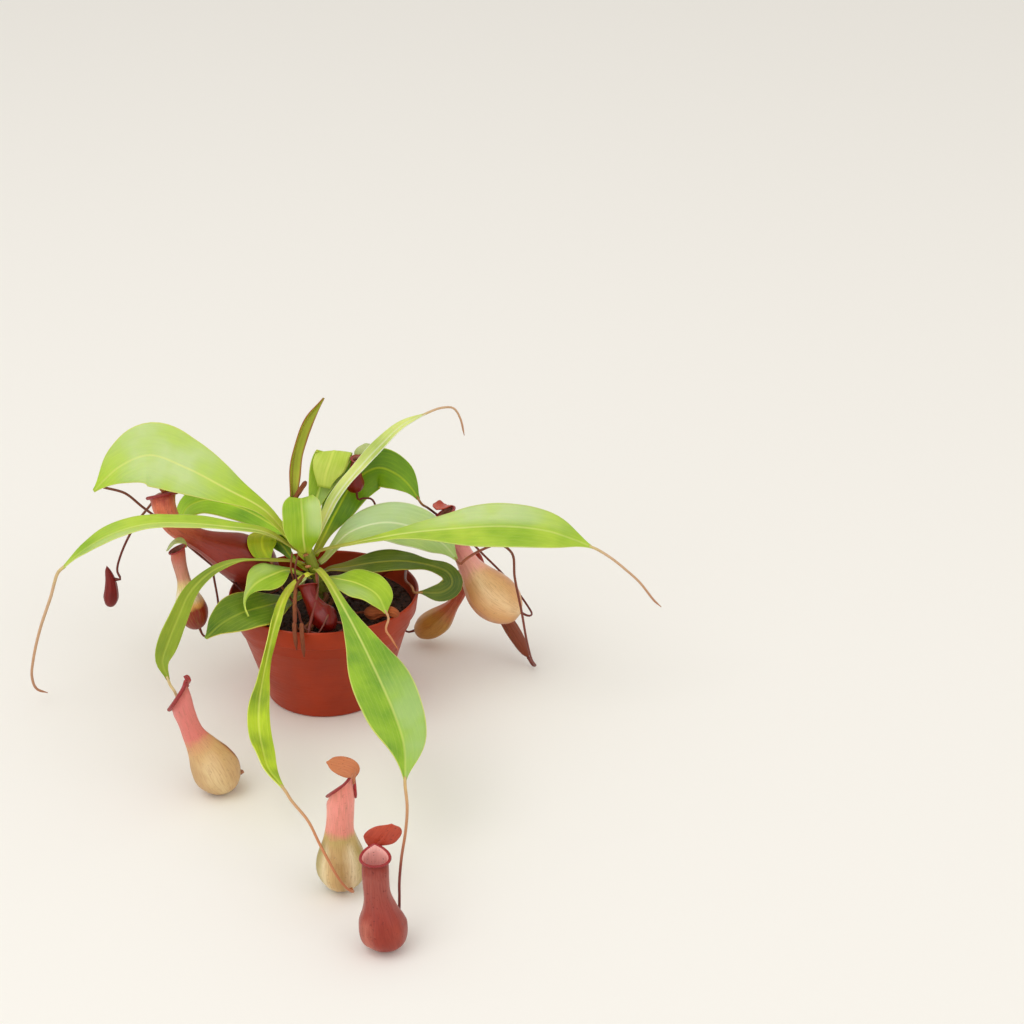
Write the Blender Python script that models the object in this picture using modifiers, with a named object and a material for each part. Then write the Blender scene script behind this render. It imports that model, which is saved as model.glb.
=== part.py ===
"""A potted tropical pitcher plant, as separate solids.

Metres, +Z up. The origin is the centre of the pot's underside, and -Y is the front. Places and
sizes below are in millimetres and are turned into metres where a mesh is made.
"""

import math
import random

import bmesh
import bpy
from mathutils import Vector

MM = 0.001
MERGE = 0.00002
TOUCH = 0.3            # clearance between pieces that touch
TIP_CLEARANCE = 0.5    # from a blade's tip to the tendril that runs on from it

# Pot: outer radius and height down the outer side
POT_RIM_RADIUS = 70.0
POT_HEIGHT = 83.0
POT_BASE_RADIUS = 44.0
POT_WALL = 2.0
POT_BAND = 15.0        # depth of the rim band
POT_STEP = 10.0        # depth of the narrower band under it
POT_SIDES = 36

# Soil: top heights from the stem's hole out to the wall
SOIL_RISE = 74.0
SOIL_MIDDLE = 71.0
SOIL_EDGE = 69.5
SOIL_LUMP = 0.8
SOIL_SIDES = 30

# Stem
STEM_ROUTE = ((0, 0, 49), (0, 0, 62), (0, 0, 76), (-2, 0, 87), (-6, 0, 99), (-10, 0, 112), (-13, 0, 123))
STEM_RADIUS = 4.6
STEM_HOLE = STEM_RADIUS + 2 * TOUCH

# Blades
BLADE_THICKNESS = 0.8
SEAT_CLEARANCE = 0.8   # from the stem's surface to a blade's foot
SPOT_CLEARANCE = 0.8   # from a pitcher's skin to a tendril that meets its side
FOOT_LENGTH = 5.0

# Half width along a blade, as a share of its widest, at even steps from foot to tip
STRAP = (0.26, 0.40, 0.66, 0.90, 1.00, 0.96, 0.70, 0.12)
SLENDER = (0.30, 0.36, 0.42, 0.47, 0.54, 0.70, 0.94, 1.00, 0.16)
PADDLE = (0.14, 0.16, 0.26, 0.60, 0.95, 1.00, 0.78, 0.05)
OVAL = (0.20, 0.19, 0.40, 0.78, 1.00, 0.90, 0.55, 0.06)
RIBBON = (0.30, 0.34, 0.40, 0.46, 0.56, 0.72, 0.94, 1.00, 0.80, 0.14)
CHANNEL = (0.60, 0.80, 0.80, 0.78, 0.80, 0.86, 0.90, 0.80, 0.50, 0.14)
WEDGE = (0.14, 0.18, 0.36, 0.66, 0.90, 1.00, 0.62, 0.05)
HOOKED = (0.24, 0.45, 0.75, 1.00, 1.00, 0.74, 0.42, 0.55, 0.78, 0.58, 0.08)
SPOON = (0.16, 0.30, 0.76, 1.00, 0.98, 0.74, 0.08)
THREAD = (0.18, 0.16, 0.26, 0.66, 1.00, 0.90, 0.28, 0.06, 0.05)
LOBE = (0.14, 0.16, 0.26, 0.60, 0.95, 1.00, 0.92, 0.35)
BROAD_END = (0.16, 0.34, 0.72, 0.98, 1.00, 0.96, 0.62)
DISC = (0.22, 0.30, 0.80, 1.00, 0.96, 0.25)

# Pitcher outlines: share of the spine, share of the bulb's radius
FULL_PITCHER = (
    (0.0, 0.0), (0.025, 0.46), (0.09, 0.80), (0.20, 1.00), (0.34, 0.95), (0.47, 0.72), (0.60, 0.57),
    (0.76, 0.55), (0.93, 0.58), (0.985, 0.60), (1.0, 0.67), (0.985, 0.71),
)
SLIM_PITCHER = (
    (0.0, 0.0), (0.025, 0.44), (0.09, 0.78), (0.20, 1.00), (0.33, 0.96), (0.46, 0.70), (0.58, 0.47),
    (0.72, 0.41), (0.90, 0.47), (0.985, 0.52), (1.0, 0.59), (0.985, 0.63),
)
SHORT_PITCHER = (
    (0.0, 0.0), (0.04, 0.52), (0.14, 0.88), (0.30, 1.00), (0.50, 0.78), (0.70, 0.60), (0.96, 0.66),
    (1.0, 0.80), (0.975, 0.85),
)
BUD = ((0.0, 0.0), (0.05, 0.60), (0.20, 1.00), (0.42, 0.92), (0.66, 0.66), (0.88, 0.32), (1.0, 0.0))
CLOSED_PITCHER = (
    (0.0, 0.0), (0.06, 0.60), (0.25, 1.00), (0.50, 0.72), (0.75, 0.66), (0.95, 0.45), (1.0, 0.0),
)
MOUTH_START = 0.55     # share of the spine where the slant of the mouth begins
PITCHER_WALL = 0.9
LID_NECK = 2.5
LID_THICKNESS = 1.0

TENDRIL_STEP = 9.5     # distance between the rings of a tendril

# Finishes: colour, roughness
TERRACOTTA = ((0.50, 0.11, 0.04), 0.45)
PEAT = ((0.03, 0.018, 0.012), 0.95)
GREEN_STEM = ((0.22, 0.34, 0.06), 0.5)
FRESH_GREEN = ((0.30, 0.55, 0.05), 0.35)
LEAF_GREEN = ((0.13, 0.36, 0.04), 0.35)
DARK_GREEN = ((0.06, 0.22, 0.03), 0.35)
TENDRIL_BROWN = ((0.40, 0.16, 0.06), 0.5)
TENDRIL_RED = ((0.24, 0.05, 0.03), 0.5)
OLIVE_TAN = ((0.42, 0.29, 0.12), 0.4)
PITCHER_RED = ((0.36, 0.05, 0.03), 0.35)
DRY_BROWN = ((0.30, 0.10, 0.03), 0.8)

# Leaves: seat is (height on the stem, compass angle from +X), route runs on from the foot,
# facing is where the upper side looks at even steps, fold is how deep the channel is
LEAVES = {
    "leaf_01": dict(seat=(120, 172), half=24, outline=WEDGE, fold=0.16, rows=12, finish=FRESH_GREEN,
                    route=((-42, 8, 144), (-70, 15, 158), (-100, 22, 172), (-126, 26, 180), (-148, 24, 172),
                           (-168, 20, 154)),
                    facing=((0, 0, 1), (0.2, -0.5, 0.8), (0.1, -0.8, 0.7), (-0.3, -0.8, 0.6),
                            (-0.6, -0.7, 0.2))),
    "leaf_02": dict(seat=(114, 184), half=9, outline=STRAP, fold=0.25, rows=12, finish=FRESH_GREEN,
                    route=((-40, -3, 131), (-68, -6, 137), (-98, -11, 142), (-124, -15, 143),
                           (-150, -20, 137), (-172, -22, 124), (-186, -24, 112)),
                    facing=((0, 0, 1), (0, -0.2, 1), (0, -0.1, 1), (-0.3, -0.4, 0.9), (-0.8, -0.4, 0.5))),
    "leaf_03": dict(seat=(105, 206), half=7, outline=SLENDER, fold=0.20, rows=12, finish=LEAF_GREEN,
                    route=((-42, -20, 117), (-58, -40, 125), (-73, -65, 128), (-84, -85, 123),
                           (-90, -102, 113), (-96, -116, 100), (-99, -125, 90), (-95, -130, 79)),
                    facing=((0, 0, 1), (0, 0, 1), (0.3, 0, 1), (0.4, -0.9, 0.4), (0.1, -1, 0.2))),
    "leaf_04": dict(seat=(98, 250), half=8, outline=RIBBON, fold=0.24, rows=14, finish=FRESH_GREEN,
                    route=((-20, -21, 97), (-25, -34, 94.5), (-29, -62, 88), (-32, -84, 77),
                           (-34, -108, 67), (-36, -134, 59), (-35, -152, 52), (-30, -168, 46),
                           (-23, -185, 43), (-11, -205, 40)),
                    facing=((0, 0, 1), (0.4, -0.2, 0.9), (0.6, -0.3, 0.8), (0.9, -0.3, 0.4),
                            (0.2, -0.6, 0.8), (0.7, -0.6, 0.6), (0.5, -0.6, 0.7))),
    "leaf_05": dict(seat=(102, 292), half=20, outline=PADDLE, fold=0.14, rows=14, finish=FRESH_GREEN,
                    route=((6, -28, 104), (20, -62, 99), (35, -100, 92), (49, -140, 86), (61, -176, 80),
                           (69, -206, 73), (71, -235, 64)),
                    facing=((0, 0, 1), (0.1, -0.2, 1), (0.1, -0.4, 1), (0, -0.5, 0.9), (0.5, -0.7, 0.7))),
    "leaf_06": dict(seat=(113, 356), half=18, outline=PADDLE, fold=0.12, rows=12, finish=FRESH_GREEN,
                    route=((22, -5, 123), (58, -8, 132), (94, -10, 137), (130, -12, 140), (163, -15, 138),
                           (184, -18, 132), (197, -20, 127)),
                    facing=((0, 0, 1), (0, -0.2, 1), (0, -0.5, 0.9), (0.1, -0.6, 0.8), (0.3, -0.5, 0.8))),
    "leaf_07": dict(seat=(118, 48), half=6, outline=CHANNEL, fold=0.45, rows=10, finish=FRESH_GREEN,
                    route=((9, 20, 148), (26, 34, 166), (42, 46, 180), (58, 59, 191), (74, 68, 196)),
                    facing=((-0.6, -0.4, 0.8), (-0.5, -0.7, 0.6), (-0.4, -0.7, 0.7), (-0.2, -0.6, 0.8))),
    "leaf_08": dict(top=(-16, 2, 123.2), half=5.2, outline=STRAP, fold=0.80, rows=9, finish=FRESH_GREEN,
                    route=((-21, 10, 145), (-22, 20, 166), (-19, 28, 186), (-12, 33, 203), (2, 36, 221)),
                    facing=((0.5, -1, 0), (0.6, -0.8, 0), (0.7, -0.7, 0.1), (0.7, -0.5, 0.5))),
    "leaf_09": dict(seat=(115, 100), half=13.5, outline=LOBE, fold=0.08, rows=11, finish=LEAF_GREEN,
                    route=((-9, 32, 132), (-4, 46, 148), (2, 56, 161), (6, 58, 169), (6, 53, 172),
                           (4, 47, 167), (1, 42, 159), (-1, 38, 149)),
                    facing=((0, -1, 0.6), (0, -1, 0.5), (0, -1, 0.5), (0, -1, 0.4), (0, -1, 0.3),
                            (0, -1, 0.1), (0, -0.3, -1), (0, 0.8, -0.6), (0, 0.85, -0.5))),
    "leaf_10": dict(seat=(109, 62), half=16, outline=SPOON, fold=0.10, rows=9, finish=LEAF_GREEN,
                    route=((8, 42, 129), (21, 58, 146), (38, 62, 155), (52, 59, 151), (62, 53, 144),
                           (69, 46, 136)),
                    facing=((0, -1, 0.8), (0, -1, 0.6), (0, -1, 0.5), (0.3, -1, 0.4), (0.5, -1, 0.4))),
    "leaf_11": dict(seat=(104, 28), half=17, outline=SPOON, fold=0.08, rows=9, finish=LEAF_GREEN,
                    route=((18, 15, 122), (44, 19, 129), (68, 20, 124), (88, 16, 113), (98, 12, 102)),
                    facing=((0, -0.2, 1), (0, -0.4, 1), (0.2, -0.6, 0.9), (0.6, -0.8, 0.6),
                            (0.8, -0.7, 0.2))),
    "leaf_12": dict(seat=(97, 6), half=11, outline=HOOKED, fold=0.10, rows=13, finish=DARK_GREEN,
                    route=((16, 1, 101), (36, 0, 105), (58, -1, 107), (79, -2, 104), (92, -4, 99),
                           (95, -8, 92), (88, -11, 87), (71, -12, 87)),
                    facing=((0, 0, 1), (0, -0.2, 1), (0, -0.3, 1), (0, -0.4, 1), (0.3, -0.5, 0.8),
                            (0.7, -0.8, 0.4), (0.2, -0.95, 0.2), (0.1, -0.9, 0.4))),
    "leaf_14": dict(seat=(93, 324), half=14.5, outline=SPOON, fold=0.10, rows=8, finish=LEAF_GREEN,
                    route=((14, -15, 99), (28, -26, 100.5), (42, -38, 97.5), (49, -49, 88.5)),
                    facing=((0, 0, 1), (0.1, -0.4, 1), (0.3, -0.5, 0.9), (0.5, -0.6, 0.5))),
    "leaf_15": dict(seat=(94, 208), half=12, outline=THREAD, fold=0.10, rows=10, finish=LEAF_GREEN,
                    route=((-23, -9, 103.5), (-33, -26, 108.5), (-45, -42, 108), (-51, -50, 101.5),
                           (-51, -56, 97), (-48, -61, 92)),
                    facing=((0, 0, 1), (0, -0.7, 0.9), (-0.1, -0.8, 0.8), (-0.2, -1, 0.4), (-0.2, -1, 0))),
    "leaf_16": dict(seat=(84, 236), half=19, outline=OVAL, fold=0.06, rows=10, finish=DARK_GREEN,
                    route=((-24, -22, 86), (-38, -38, 89), (-54, -56, 92), (-67, -70, 90), (-76, -81, 85)),
                    facing=((0, 0, 1), (-0.1, -0.5, 1), (-0.1, -0.6, 0.9), (-0.2, -0.7, 0.7))),
    "leaf_17": dict(seat=(116, 270), half=14, outline=BROAD_END, fold=0.30, rows=7, finish=FRESH_GREEN,
                    route=((-12, -13, 132), (-12, -11, 144), (-13, -6, 153), (-14, 2, 156)),
                    facing=((0, -1, 0.2), (0, -1, 0.3), (0, -1, 0.6), (0, -0.4, 1))),
    "leaf_18": dict(seat=(98, 168), half=11.0, outline=PADDLE, fold=0.05, rows=10, finish=LEAF_GREEN,
                    route=((-24, 7, 107), (-31, 10, 115.5), (-38, 10, 121.5), (-43, 6, 124), (-44, 1, 122),
                           (-43, -2, 117.5), (-40, -6, 113.5), (-37, -9, 110.5)),
                    facing=((0, 0, 1), (0, -0.5, 0.8), (-0.1, -0.9, 0.3), (-0.1, -0.95, 0.2),
                            (0, -0.8, -0.5), (0, -0.1, -1), (0, 0.6, -0.8), (0, 0.9, -0.4), (0, 0.9, -0.3))),
    "leaf_19": dict(seat=(107, 144), half=13, outline=SPOON, fold=0.08, rows=10, finish=LEAF_GREEN,
                    route=((-20, 17, 113), (-38, 28, 122), (-64, 39, 132), (-90, 45, 136), (-106, 45, 128),
                           (-108, 41, 115), (-97, 36, 104)),
                    facing=((0, -0.2, 1), (0, -0.4, 1), (-0.2, -0.4, 1), (-0.8, -0.5, 0.5),
                            (-0.7, -0.7, -0.2))),
    "leaf_20": dict(seat=(99, 124), half=15, outline=PADDLE, fold=0.12, rows=10, finish=DARK_GREEN,
                    route=((-28, 34, 110), (-58, 60, 120), (-90, 78, 128), (-114, 84, 130), (-131, 84, 124)),
                    facing=((0, 0, 1), (0, 0, 1), (-0.1, -0.1, 1), (-0.4, -0.2, 0.9))),
}

# Pitchers: spine from the bottom to the mouth, front is the low side of the mouth, slant is how far
# the back of the mouth stands above it, lid gives the middle and the far tip of the lid from its root
PITCHERS = {
    "pitcher_01": dict(outline=SLIM_PITCHER, bulb=16.5, sides=12, slant=15, front=(-0.95, -0.3, 0),
                       finish=OLIVE_TAN,
                       spine=((-56, -146, 1.4), (-58.5, -146, 7), (-64, -145.5, 18), (-71, -145, 32),
                              (-78, -145, 46), (-82, -146, 61), (-85, -148, 76)),
                       lid=((0.4, 0, 4.5), (-2, -0.5, 7)), lid_half=2.6, lid_up=(0.5, 0, 0.9)),
    "pitcher_02": dict(outline=FULL_PITCHER, bulb=15.6, sides=12, slant=14, front=(-0.84, 0.54, 0),
                       finish=OLIVE_TAN,
                       spine=((32, -261, 0.6), (31.5, -261, 8), (31, -261, 16), (31, -261, 30),
                              (31, -262, 44), (32, -262, 60), (32.5, -262, 75)),
                       lid=((-3.5, -1, 9), (-18, -2, 14.5)), lid_half=7.5, lid_up=(0.2, -0.6, 0.8)),
    "pitcher_03": dict(outline=FULL_PITCHER, bulb=14.8, sides=12, slant=8, front=(0.1, -1, 0),
                       finish=PITCHER_RED,
                       spine=((62.5, -323, 0.5), (62, -323, 8), (60.5, -322.5, 16), (59, -321, 28),
                              (57.5, -320, 39), (57, -318, 49), (57, -316, 58)),
                       lid=((2, 1, 8.5), (4.5, 2, 16.5)), lid_half=11, lid_up=(-0.2, 0.95, -0.1)),
    "pitcher_04": dict(outline=SLIM_PITCHER, bulb=18.0, sides=12, slant=6, front=(-0.4, -0.9, 0),
                       finish=OLIVE_TAN,
                       spine=((146, 20, 54), (139, 21, 57), (125, 24, 66), (113, 29, 79), (103, 35, 94),
                              (94, 41, 109), (87, 46, 122)),
                       lid=((2, 2, 7), (6, 5, 13)), lid_half=6, lid_up=(0.5, 0.8, -0.4)),
    "pitcher_05": dict(outline=SLIM_PITCHER, bulb=11.0, sides=10, slant=3, front=(0, -1, 0),
                       finish=OLIVE_TAN,
                       spine=((62, 76, 10), (68, 75, 12), (78, 73, 18), (88, 71, 29), (96, 69, 41),
                              (101, 68, 53), (103, 68, 62)),
                       lid=((0, 1, 6), (0, -4, 10)), lid_half=4.5, lid_up=(0, 0.5, 0.9)),
    "pitcher_06": dict(outline=CLOSED_PITCHER, bulb=5.5, sides=8, slant=0, front=(0, -1, 0),
                       finish=OLIVE_TAN,
                       spine=((152, 36, 6.5), (147, 41, 14), (139, 47, 26), (129, 53, 41), (122, 58, 55),
                              (116, 61, 70), (112, 63, 86))),
    "pitcher_07": dict(outline=SLIM_PITCHER, bulb=11.0, sides=10, slant=4, front=(-1, 0, 0),
                       finish=OLIVE_TAN,
                       spine=((-92, -11, 57), (-94, -11, 63), (-96, -11, 70), (-99, -11, 82),
                              (-101, -11, 97), (-103, -11, 110), (-104, -11, 121)),
                       lid=((-5, 0, 4), (-14, 0, -4)), lid_half=4.5, lid_up=(-0.8, 0, 0.6)),
    "pitcher_08": dict(outline=SLIM_PITCHER, bulb=18.0, sides=12, slant=4, front=(0, -1, 0),
                       finish=PITCHER_RED,
                       spine=((-36, 17, 88), (-43, 15, 92), (-53, 13, 99), (-73, 9, 111), (-95, 9, 122),
                              (-109, 11, 130), (-116, 15, 142), (-118, 20, 150)),
                       lid=((-0.5, 0.5, 5.5), (0, -4, 10)), lid_half=5, lid_up=(0, 0.6, 0.8)),
    "pitcher_09": dict(outline=SHORT_PITCHER, bulb=9.5, sides=10, slant=2, front=(0.6, -0.6, 0.6),
                       finish=PITCHER_RED,
                       spine=((14, -51, 82), (9, -50, 82.5), (4, -46, 84), (-2, -39, 88), (-7, -32, 94),
                              (-9, -27, 99.5)),
                       lid=((1, 1, 4), (3, 3, 7)), lid_half=3.5, lid_up=(-0.5, 0, 0.9)),
    "pitcher_10": dict(outline=SHORT_PITCHER, bulb=8.5, sides=10, slant=2, front=(0.4, -0.7, 0.5),
                       finish=PITCHER_RED,
                       spine=((19, -5, 81), (25, 1, 83), (32, 8, 86), (39, 15, 90), (45, 20, 94)),
                       lid=((1, 2, 4), (4, 1, 7)), lid_half=4, lid_up=(-0.5, 0.2, 0.8)),
    "pitcher_11": dict(outline=CLOSED_PITCHER, bulb=5.5, sides=8, slant=0, front=(1, -1, 0),
                       finish=DRY_BROWN,
                       spine=((32, -27, 78), (38, -31, 80), (45, -36, 84), (52, -42, 86.5), (58, -46, 85))),
    "pitcher_12": dict(outline=SHORT_PITCHER, bulb=7.0, sides=10, slant=2, front=(-0.7, -0.7, 0),
                       finish=PITCHER_RED,
                       spine=((23, 43, 143), (22, 43, 149), (22, 43, 156), (23, 44, 163), (25, 44, 169)),
                       lid=((2, 3, 4.5), (8, 9.5, 6.5)), lid_half=8, lid_up=(0.2, 0.2, -1)),
    "pitcher_13": dict(outline=BUD, bulb=5.4, sides=8, slant=0, front=(-1, 0, 0),
                       finish=PITCHER_RED,
                       spine=((-170, 44, 47), (-168, 44, 54), (-167, 44, 62), (-167, 44, 71),
                              (-169, 44, 82))),
}

# Tendrils: leaf is the blade it runs on from, seat is a stalk's place on the stem, pitcher is what it
# carries, and spot is the ring and side of the skin that it meets where that isn't the bottom
TENDRILS = {
    "tendril_01": dict(leaf="leaf_01", radius=1.1, finish=TENDRIL_RED, pitcher="pitcher_08",
                       route=((-174, 28, 150), (-166, 38, 150), (-149, 37, 145), (-136, 34, 135),
                              (-123, 30, 126), (-104, 25, 109), (-86, 18, 96), (-69, 9, 86), (-58, 4, 78),
                              (-44, 8, 75), (-34, 14, 78))),
    "tendril_02": dict(leaf="leaf_02", radius=1.3, finish=TENDRIL_BROWN,
                       route=((-196, -26, 90), (-206, -28, 64), (-213, -28, 40), (-216, -26, 24),
                              (-214, -24, 13), (-207, -21, 8))),
    "tendril_03": dict(leaf="leaf_03", radius=1.1, finish=TENDRIL_BROWN, pitcher="pitcher_01", spot=(2, 7),
                       route=((-90, -136, 73), (-86, -136, 60), (-83, -133, 46), (-79, -127, 30),
                              (-73, -121, 18), (-62, -120, 12), (-52, -125, 9))),
    "tendril_04": dict(leaf="leaf_04", radius=1.1, finish=TENDRIL_BROWN, pitcher="pitcher_02", spot=(2, 5),
                       route=((-4, -219, 39), (9, -243, 39), (19, -269, 38), (25, -277, 31), (31, -282, 22),
                              (36, -280, 13))),
    "tendril_05": dict(leaf="leaf_05", radius=1.1, finish=TENDRIL_BROWN, pitcher="pitcher_03", spot=(3, 5),
                       route=((73, -252, 56), (73, -272, 51), (71, -290, 42), (70, -300, 31),
                              (70, -303, 22))),
    "tendril_06": dict(leaf="leaf_06", radius=1.1, finish=TENDRIL_BROWN,
                       route=((211, -24, 120), (221, -28, 113), (231, -30, 104), (242, -32, 90),
                              (247, -34, 86))),
    "tendril_07": dict(leaf="leaf_07", radius=1.0, finish=TENDRIL_BROWN,
                       route=((86, 73, 199), (95, 75, 198), (100, 75, 190), (103, 75, 176))),
    "tendril_10": dict(leaf="leaf_10", radius=1.0, finish=TENDRIL_BROWN, pitcher="pitcher_04",
                       route=((76, 52, 126), (88, 60, 112), (104, 60, 98), (118, 53, 86), (131, 46, 75),
                              (142, 39, 64), (151, 31, 54), (154, 24, 51))),
    "tendril_11": dict(leaf="leaf_11", radius=1.1, finish=TENDRIL_RED, pitcher="pitcher_06",
                       route=((105, 9, 104), (117, 4, 114), (130, 2, 119), (139, 2, 112), (141, 3, 92),
                              (146, 4, 64), (150, 10, 36), (154, 20, 14), (157, 29, 4))),
    "tendril_12": dict(leaf="leaf_12", radius=1.0, finish=TENDRIL_RED, pitcher="pitcher_05",
                       route=((66, -12, 91), (61, -4, 92), (60, 10, 92), (61, 32, 92), (61, 50, 86),
                              (57, 66, 60), (53, 75, 30), (52, 78, 14))),
    "tendril_14": dict(leaf="leaf_14", radius=1.0, finish=TENDRIL_BROWN,
                       route=((49, -58, 80), (53, -62, 75), (58, -66, 68))),
    "tendril_18": dict(leaf="leaf_18", radius=1.0, finish=TENDRIL_RED, pitcher="pitcher_09",
                       route=((-34, -14, 103), (-28, -21, 95), (-21, -29, 90), (-15, -38, 84),
                              (-12, -50, 82), (-5, -61, 80), (9, -63, 79), (18, -59, 80))),
    "tendril_19": dict(leaf="leaf_19", radius=1.0, finish=TENDRIL_RED, pitcher="pitcher_07",
                       route=((-88, 30, 95), (-84, 20, 82), (-80, 6, 64), (-82, -4, 53), (-88, -9, 49))),
    "tendril_20": dict(leaf="leaf_20", radius=1.1, finish=TENDRIL_RED, pitcher="pitcher_13", spot=(4, 4),
                       route=((-138, 80, 118), (-149, 68, 106), (-159, 54, 88), (-162, 47, 76))),
    "stalk_10": dict(seat=(82, 322), radius=1.0, finish=TENDRIL_RED, pitcher="pitcher_10",
                     route=((11, -8.6, 80.6),)),
    "stalk_11": dict(seat=(90, 325), radius=1.0, finish=DRY_BROWN, pitcher="pitcher_11",
                     route=((10, -14, 86), (18, -22, 79), (26, -26, 77))),
    "stalk_12": dict(seat=(102, 46), radius=1.0, finish=TENDRIL_RED, pitcher="pitcher_12",
                     route=((6, 24, 104), (26, 38, 114), (37, 42, 128), (34, 44, 137), (27, 43, 138))),
    "dry_stem_1": dict(seat=(82, 292), radius=1.2, finish=DRY_BROWN,
                       route=((1, -14, 80), (-3, -30, 77), (-10, -48, 76), (-14, -59, 80), (-15, -67, 89),
                              (-14, -75, 85), (-13, -77, 74))),
    "dry_stem_2": dict(seat=(78, 306), radius=1.2, finish=DRY_BROWN,
                       route=((4, -16, 77), (-1, -32, 75.5), (-7, -50, 75), (-10, -60, 79),
                              (-10, -67, 88.5), (-9, -75, 84), (-8, -77, 68))),
}


def clear_scene():
    """Remove what the file holds."""
    for item in list(bpy.data.objects):
        bpy.data.objects.remove(item, do_unlink=True)


def collection(name):
    """A collection of the scene."""
    group = bpy.data.collections.new(name)
    bpy.context.scene.collection.children.link(group)
    return group


def finish_material(name, finish):
    """A plain material of one colour and roughness."""
    colour, roughness = finish
    material = bpy.data.materials.new(name)
    material.use_nodes = True
    shader = material.node_tree.nodes["Principled BSDF"]
    shader.inputs["Base Color"].default_value = (*colour, 1.0)
    shader.inputs["Roughness"].default_value = roughness
    material.diffuse_color = (*colour, 1.0)
    return material


def add_object(name, data, finish, group):
    """An object of the given data, with its own material."""
    item = bpy.data.objects.new(name, data)
    data.materials.append(finish_material(name, finish))
    group.objects.link(item)
    return item


def blend_values(values, share):
    """A smooth value at a share of the way along evenly spaced values."""
    spot = min(max(share, 0.0), 1.0) * (len(values) - 1)
    index = min(int(spot), len(values) - 2)
    t = spot - index
    a = values[max(index - 1, 0)]
    b = values[index]
    c = values[index + 1]
    d = values[min(index + 2, len(values) - 1)]
    curved = (2 * a - 5 * b + 4 * c - d) * t ** 2 + (3 * b - a - 3 * c + d) * t ** 3
    return 0.5 * (2 * b + (c - a) * t + curved)


def curve_point(a, b, c, d, t):
    """A point between b and c on the smooth curve through four points, which may be unevenly spaced."""
    first = math.sqrt((b - a).length)
    second = first + math.sqrt((c - b).length)
    third = second + math.sqrt((d - c).length)
    spot = first + (second - first) * t
    near = a.lerp(b, spot / first)
    middle = b.lerp(c, (spot - first) / (second - first))
    far = c.lerp(d, (spot - second) / (third - second))
    inner = near.lerp(middle, spot / second)
    outer = middle.lerp(far, (spot - first) / (third - first))
    return inner.lerp(outer, (spot - first) / (second - first))


class Run:
    """A smooth run through hand-set points, read at shares of its length."""

    STEPS = 10

    def __init__(self, points):
        knots = [Vector(point) for point in points]
        knots = [2 * knots[0] - knots[1], *knots, 2 * knots[-1] - knots[-2]]
        self.places = [knots[1]]
        for a, b, c, d in zip(knots, knots[1:], knots[2:], knots[3:]):
            for step in range(1, self.STEPS + 1):
                self.places.append(curve_point(a, b, c, d, step / self.STEPS))
        self.reach = [0.0]
        for before, after in zip(self.places, self.places[1:]):
            self.reach.append(self.reach[-1] + (after - before).length)
        self.length = self.reach[-1]

    def place(self, share):
        """The point at a share of the length."""
        target = min(max(share, 0.0), 1.0) * self.length
        index = 0
        while index < len(self.reach) - 2 and self.reach[index + 1] < target:
            index += 1
        stretch = self.reach[index + 1] - self.reach[index]
        return self.places[index].lerp(self.places[index + 1], (target - self.reach[index]) / stretch)

    def heading(self, share):
        """The direction of travel at a share of the length."""
        step = 0.015
        return (self.place(share + step) - self.place(share - step)).normalized()


def square_to(direction, guide):
    """The part of a guide that stands square to a direction."""
    return (guide - direction * guide.dot(direction)).normalized()


def stem_run():
    """The stem's centre line."""
    return Run(STEM_ROUTE)


def stem_at_height(height):
    """The stem's centre at a height."""
    run = stem_run()
    low, high = 0.0, 1.0
    for _ in range(20):
        middle = (low + high) / 2
        if run.place(middle).z < height:
            low = middle
        else:
            high = middle
    return run.place(low)


def foot_points(seat, reach=STEM_RADIUS + SEAT_CLEARANCE, rise=0.6):
    """Two points where a leaf or stalk leaves the stem."""
    height, compass = seat
    turn = math.radians(compass)
    outward = Vector((math.cos(turn), math.sin(turn), 0))
    foot = stem_at_height(height) + outward * reach
    return foot, foot + (outward + Vector((0, 0, rise))).normalized() * FOOT_LENGTH


def blade_mesh(name, run, half, outline, facing, fold, rows, columns=4):
    """A blade bent along its midrib, from a flat grid cut into triangles.

    The fold lifts the edges into a channel. Both faces of the thickened blade get the same cuts.
    """
    bm = bmesh.new()
    bmesh.ops.create_grid(bm, x_segments=rows, y_segments=columns, size=0.5)
    facing = [Vector(vector) for vector in facing]
    for vert in bm.verts:
        share = vert.co.x + 0.5
        across = vert.co.y * 2
        heading = run.heading(share)
        upper = square_to(heading, blend_values(facing, share))
        side = upper.cross(heading)
        width = half * blend_values(outline, share)
        vert.co = (run.place(share) + side * (width * across) + upper * (width * fold * abs(across))) * MM
    bmesh.ops.triangulate(bm, faces=bm.faces, quad_method="FIXED")
    mesh = bpy.data.meshes.new(name)
    bm.to_mesh(mesh)
    bm.free()
    mesh.shade_smooth()
    return mesh


def thicken(item, thickness, offset):
    """Give an open surface its thickness."""
    wall = item.modifiers.new("Wall", "SOLIDIFY")
    wall.thickness = thickness * MM
    wall.offset = offset
    wall.use_rim = True
    return wall


def leaf_run(leaf):
    """A leaf's midrib, from its foot on the stem to its tip."""
    if "top" in leaf:
        foot = Vector(leaf["top"])
        start = (foot, foot + Vector((-1, 2, 6)))
    else:
        start = foot_points(leaf["seat"])
    return Run([*start, *leaf["route"]])


def build_leaf(name, leaf, group):
    """One leaf."""
    mesh = blade_mesh(name, leaf_run(leaf), leaf["half"], leaf["outline"], leaf["facing"], leaf["fold"],
                      leaf["rows"])
    thicken(add_object(name, mesh, leaf["finish"], group), BLADE_THICKNESS, 0.0)


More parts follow.
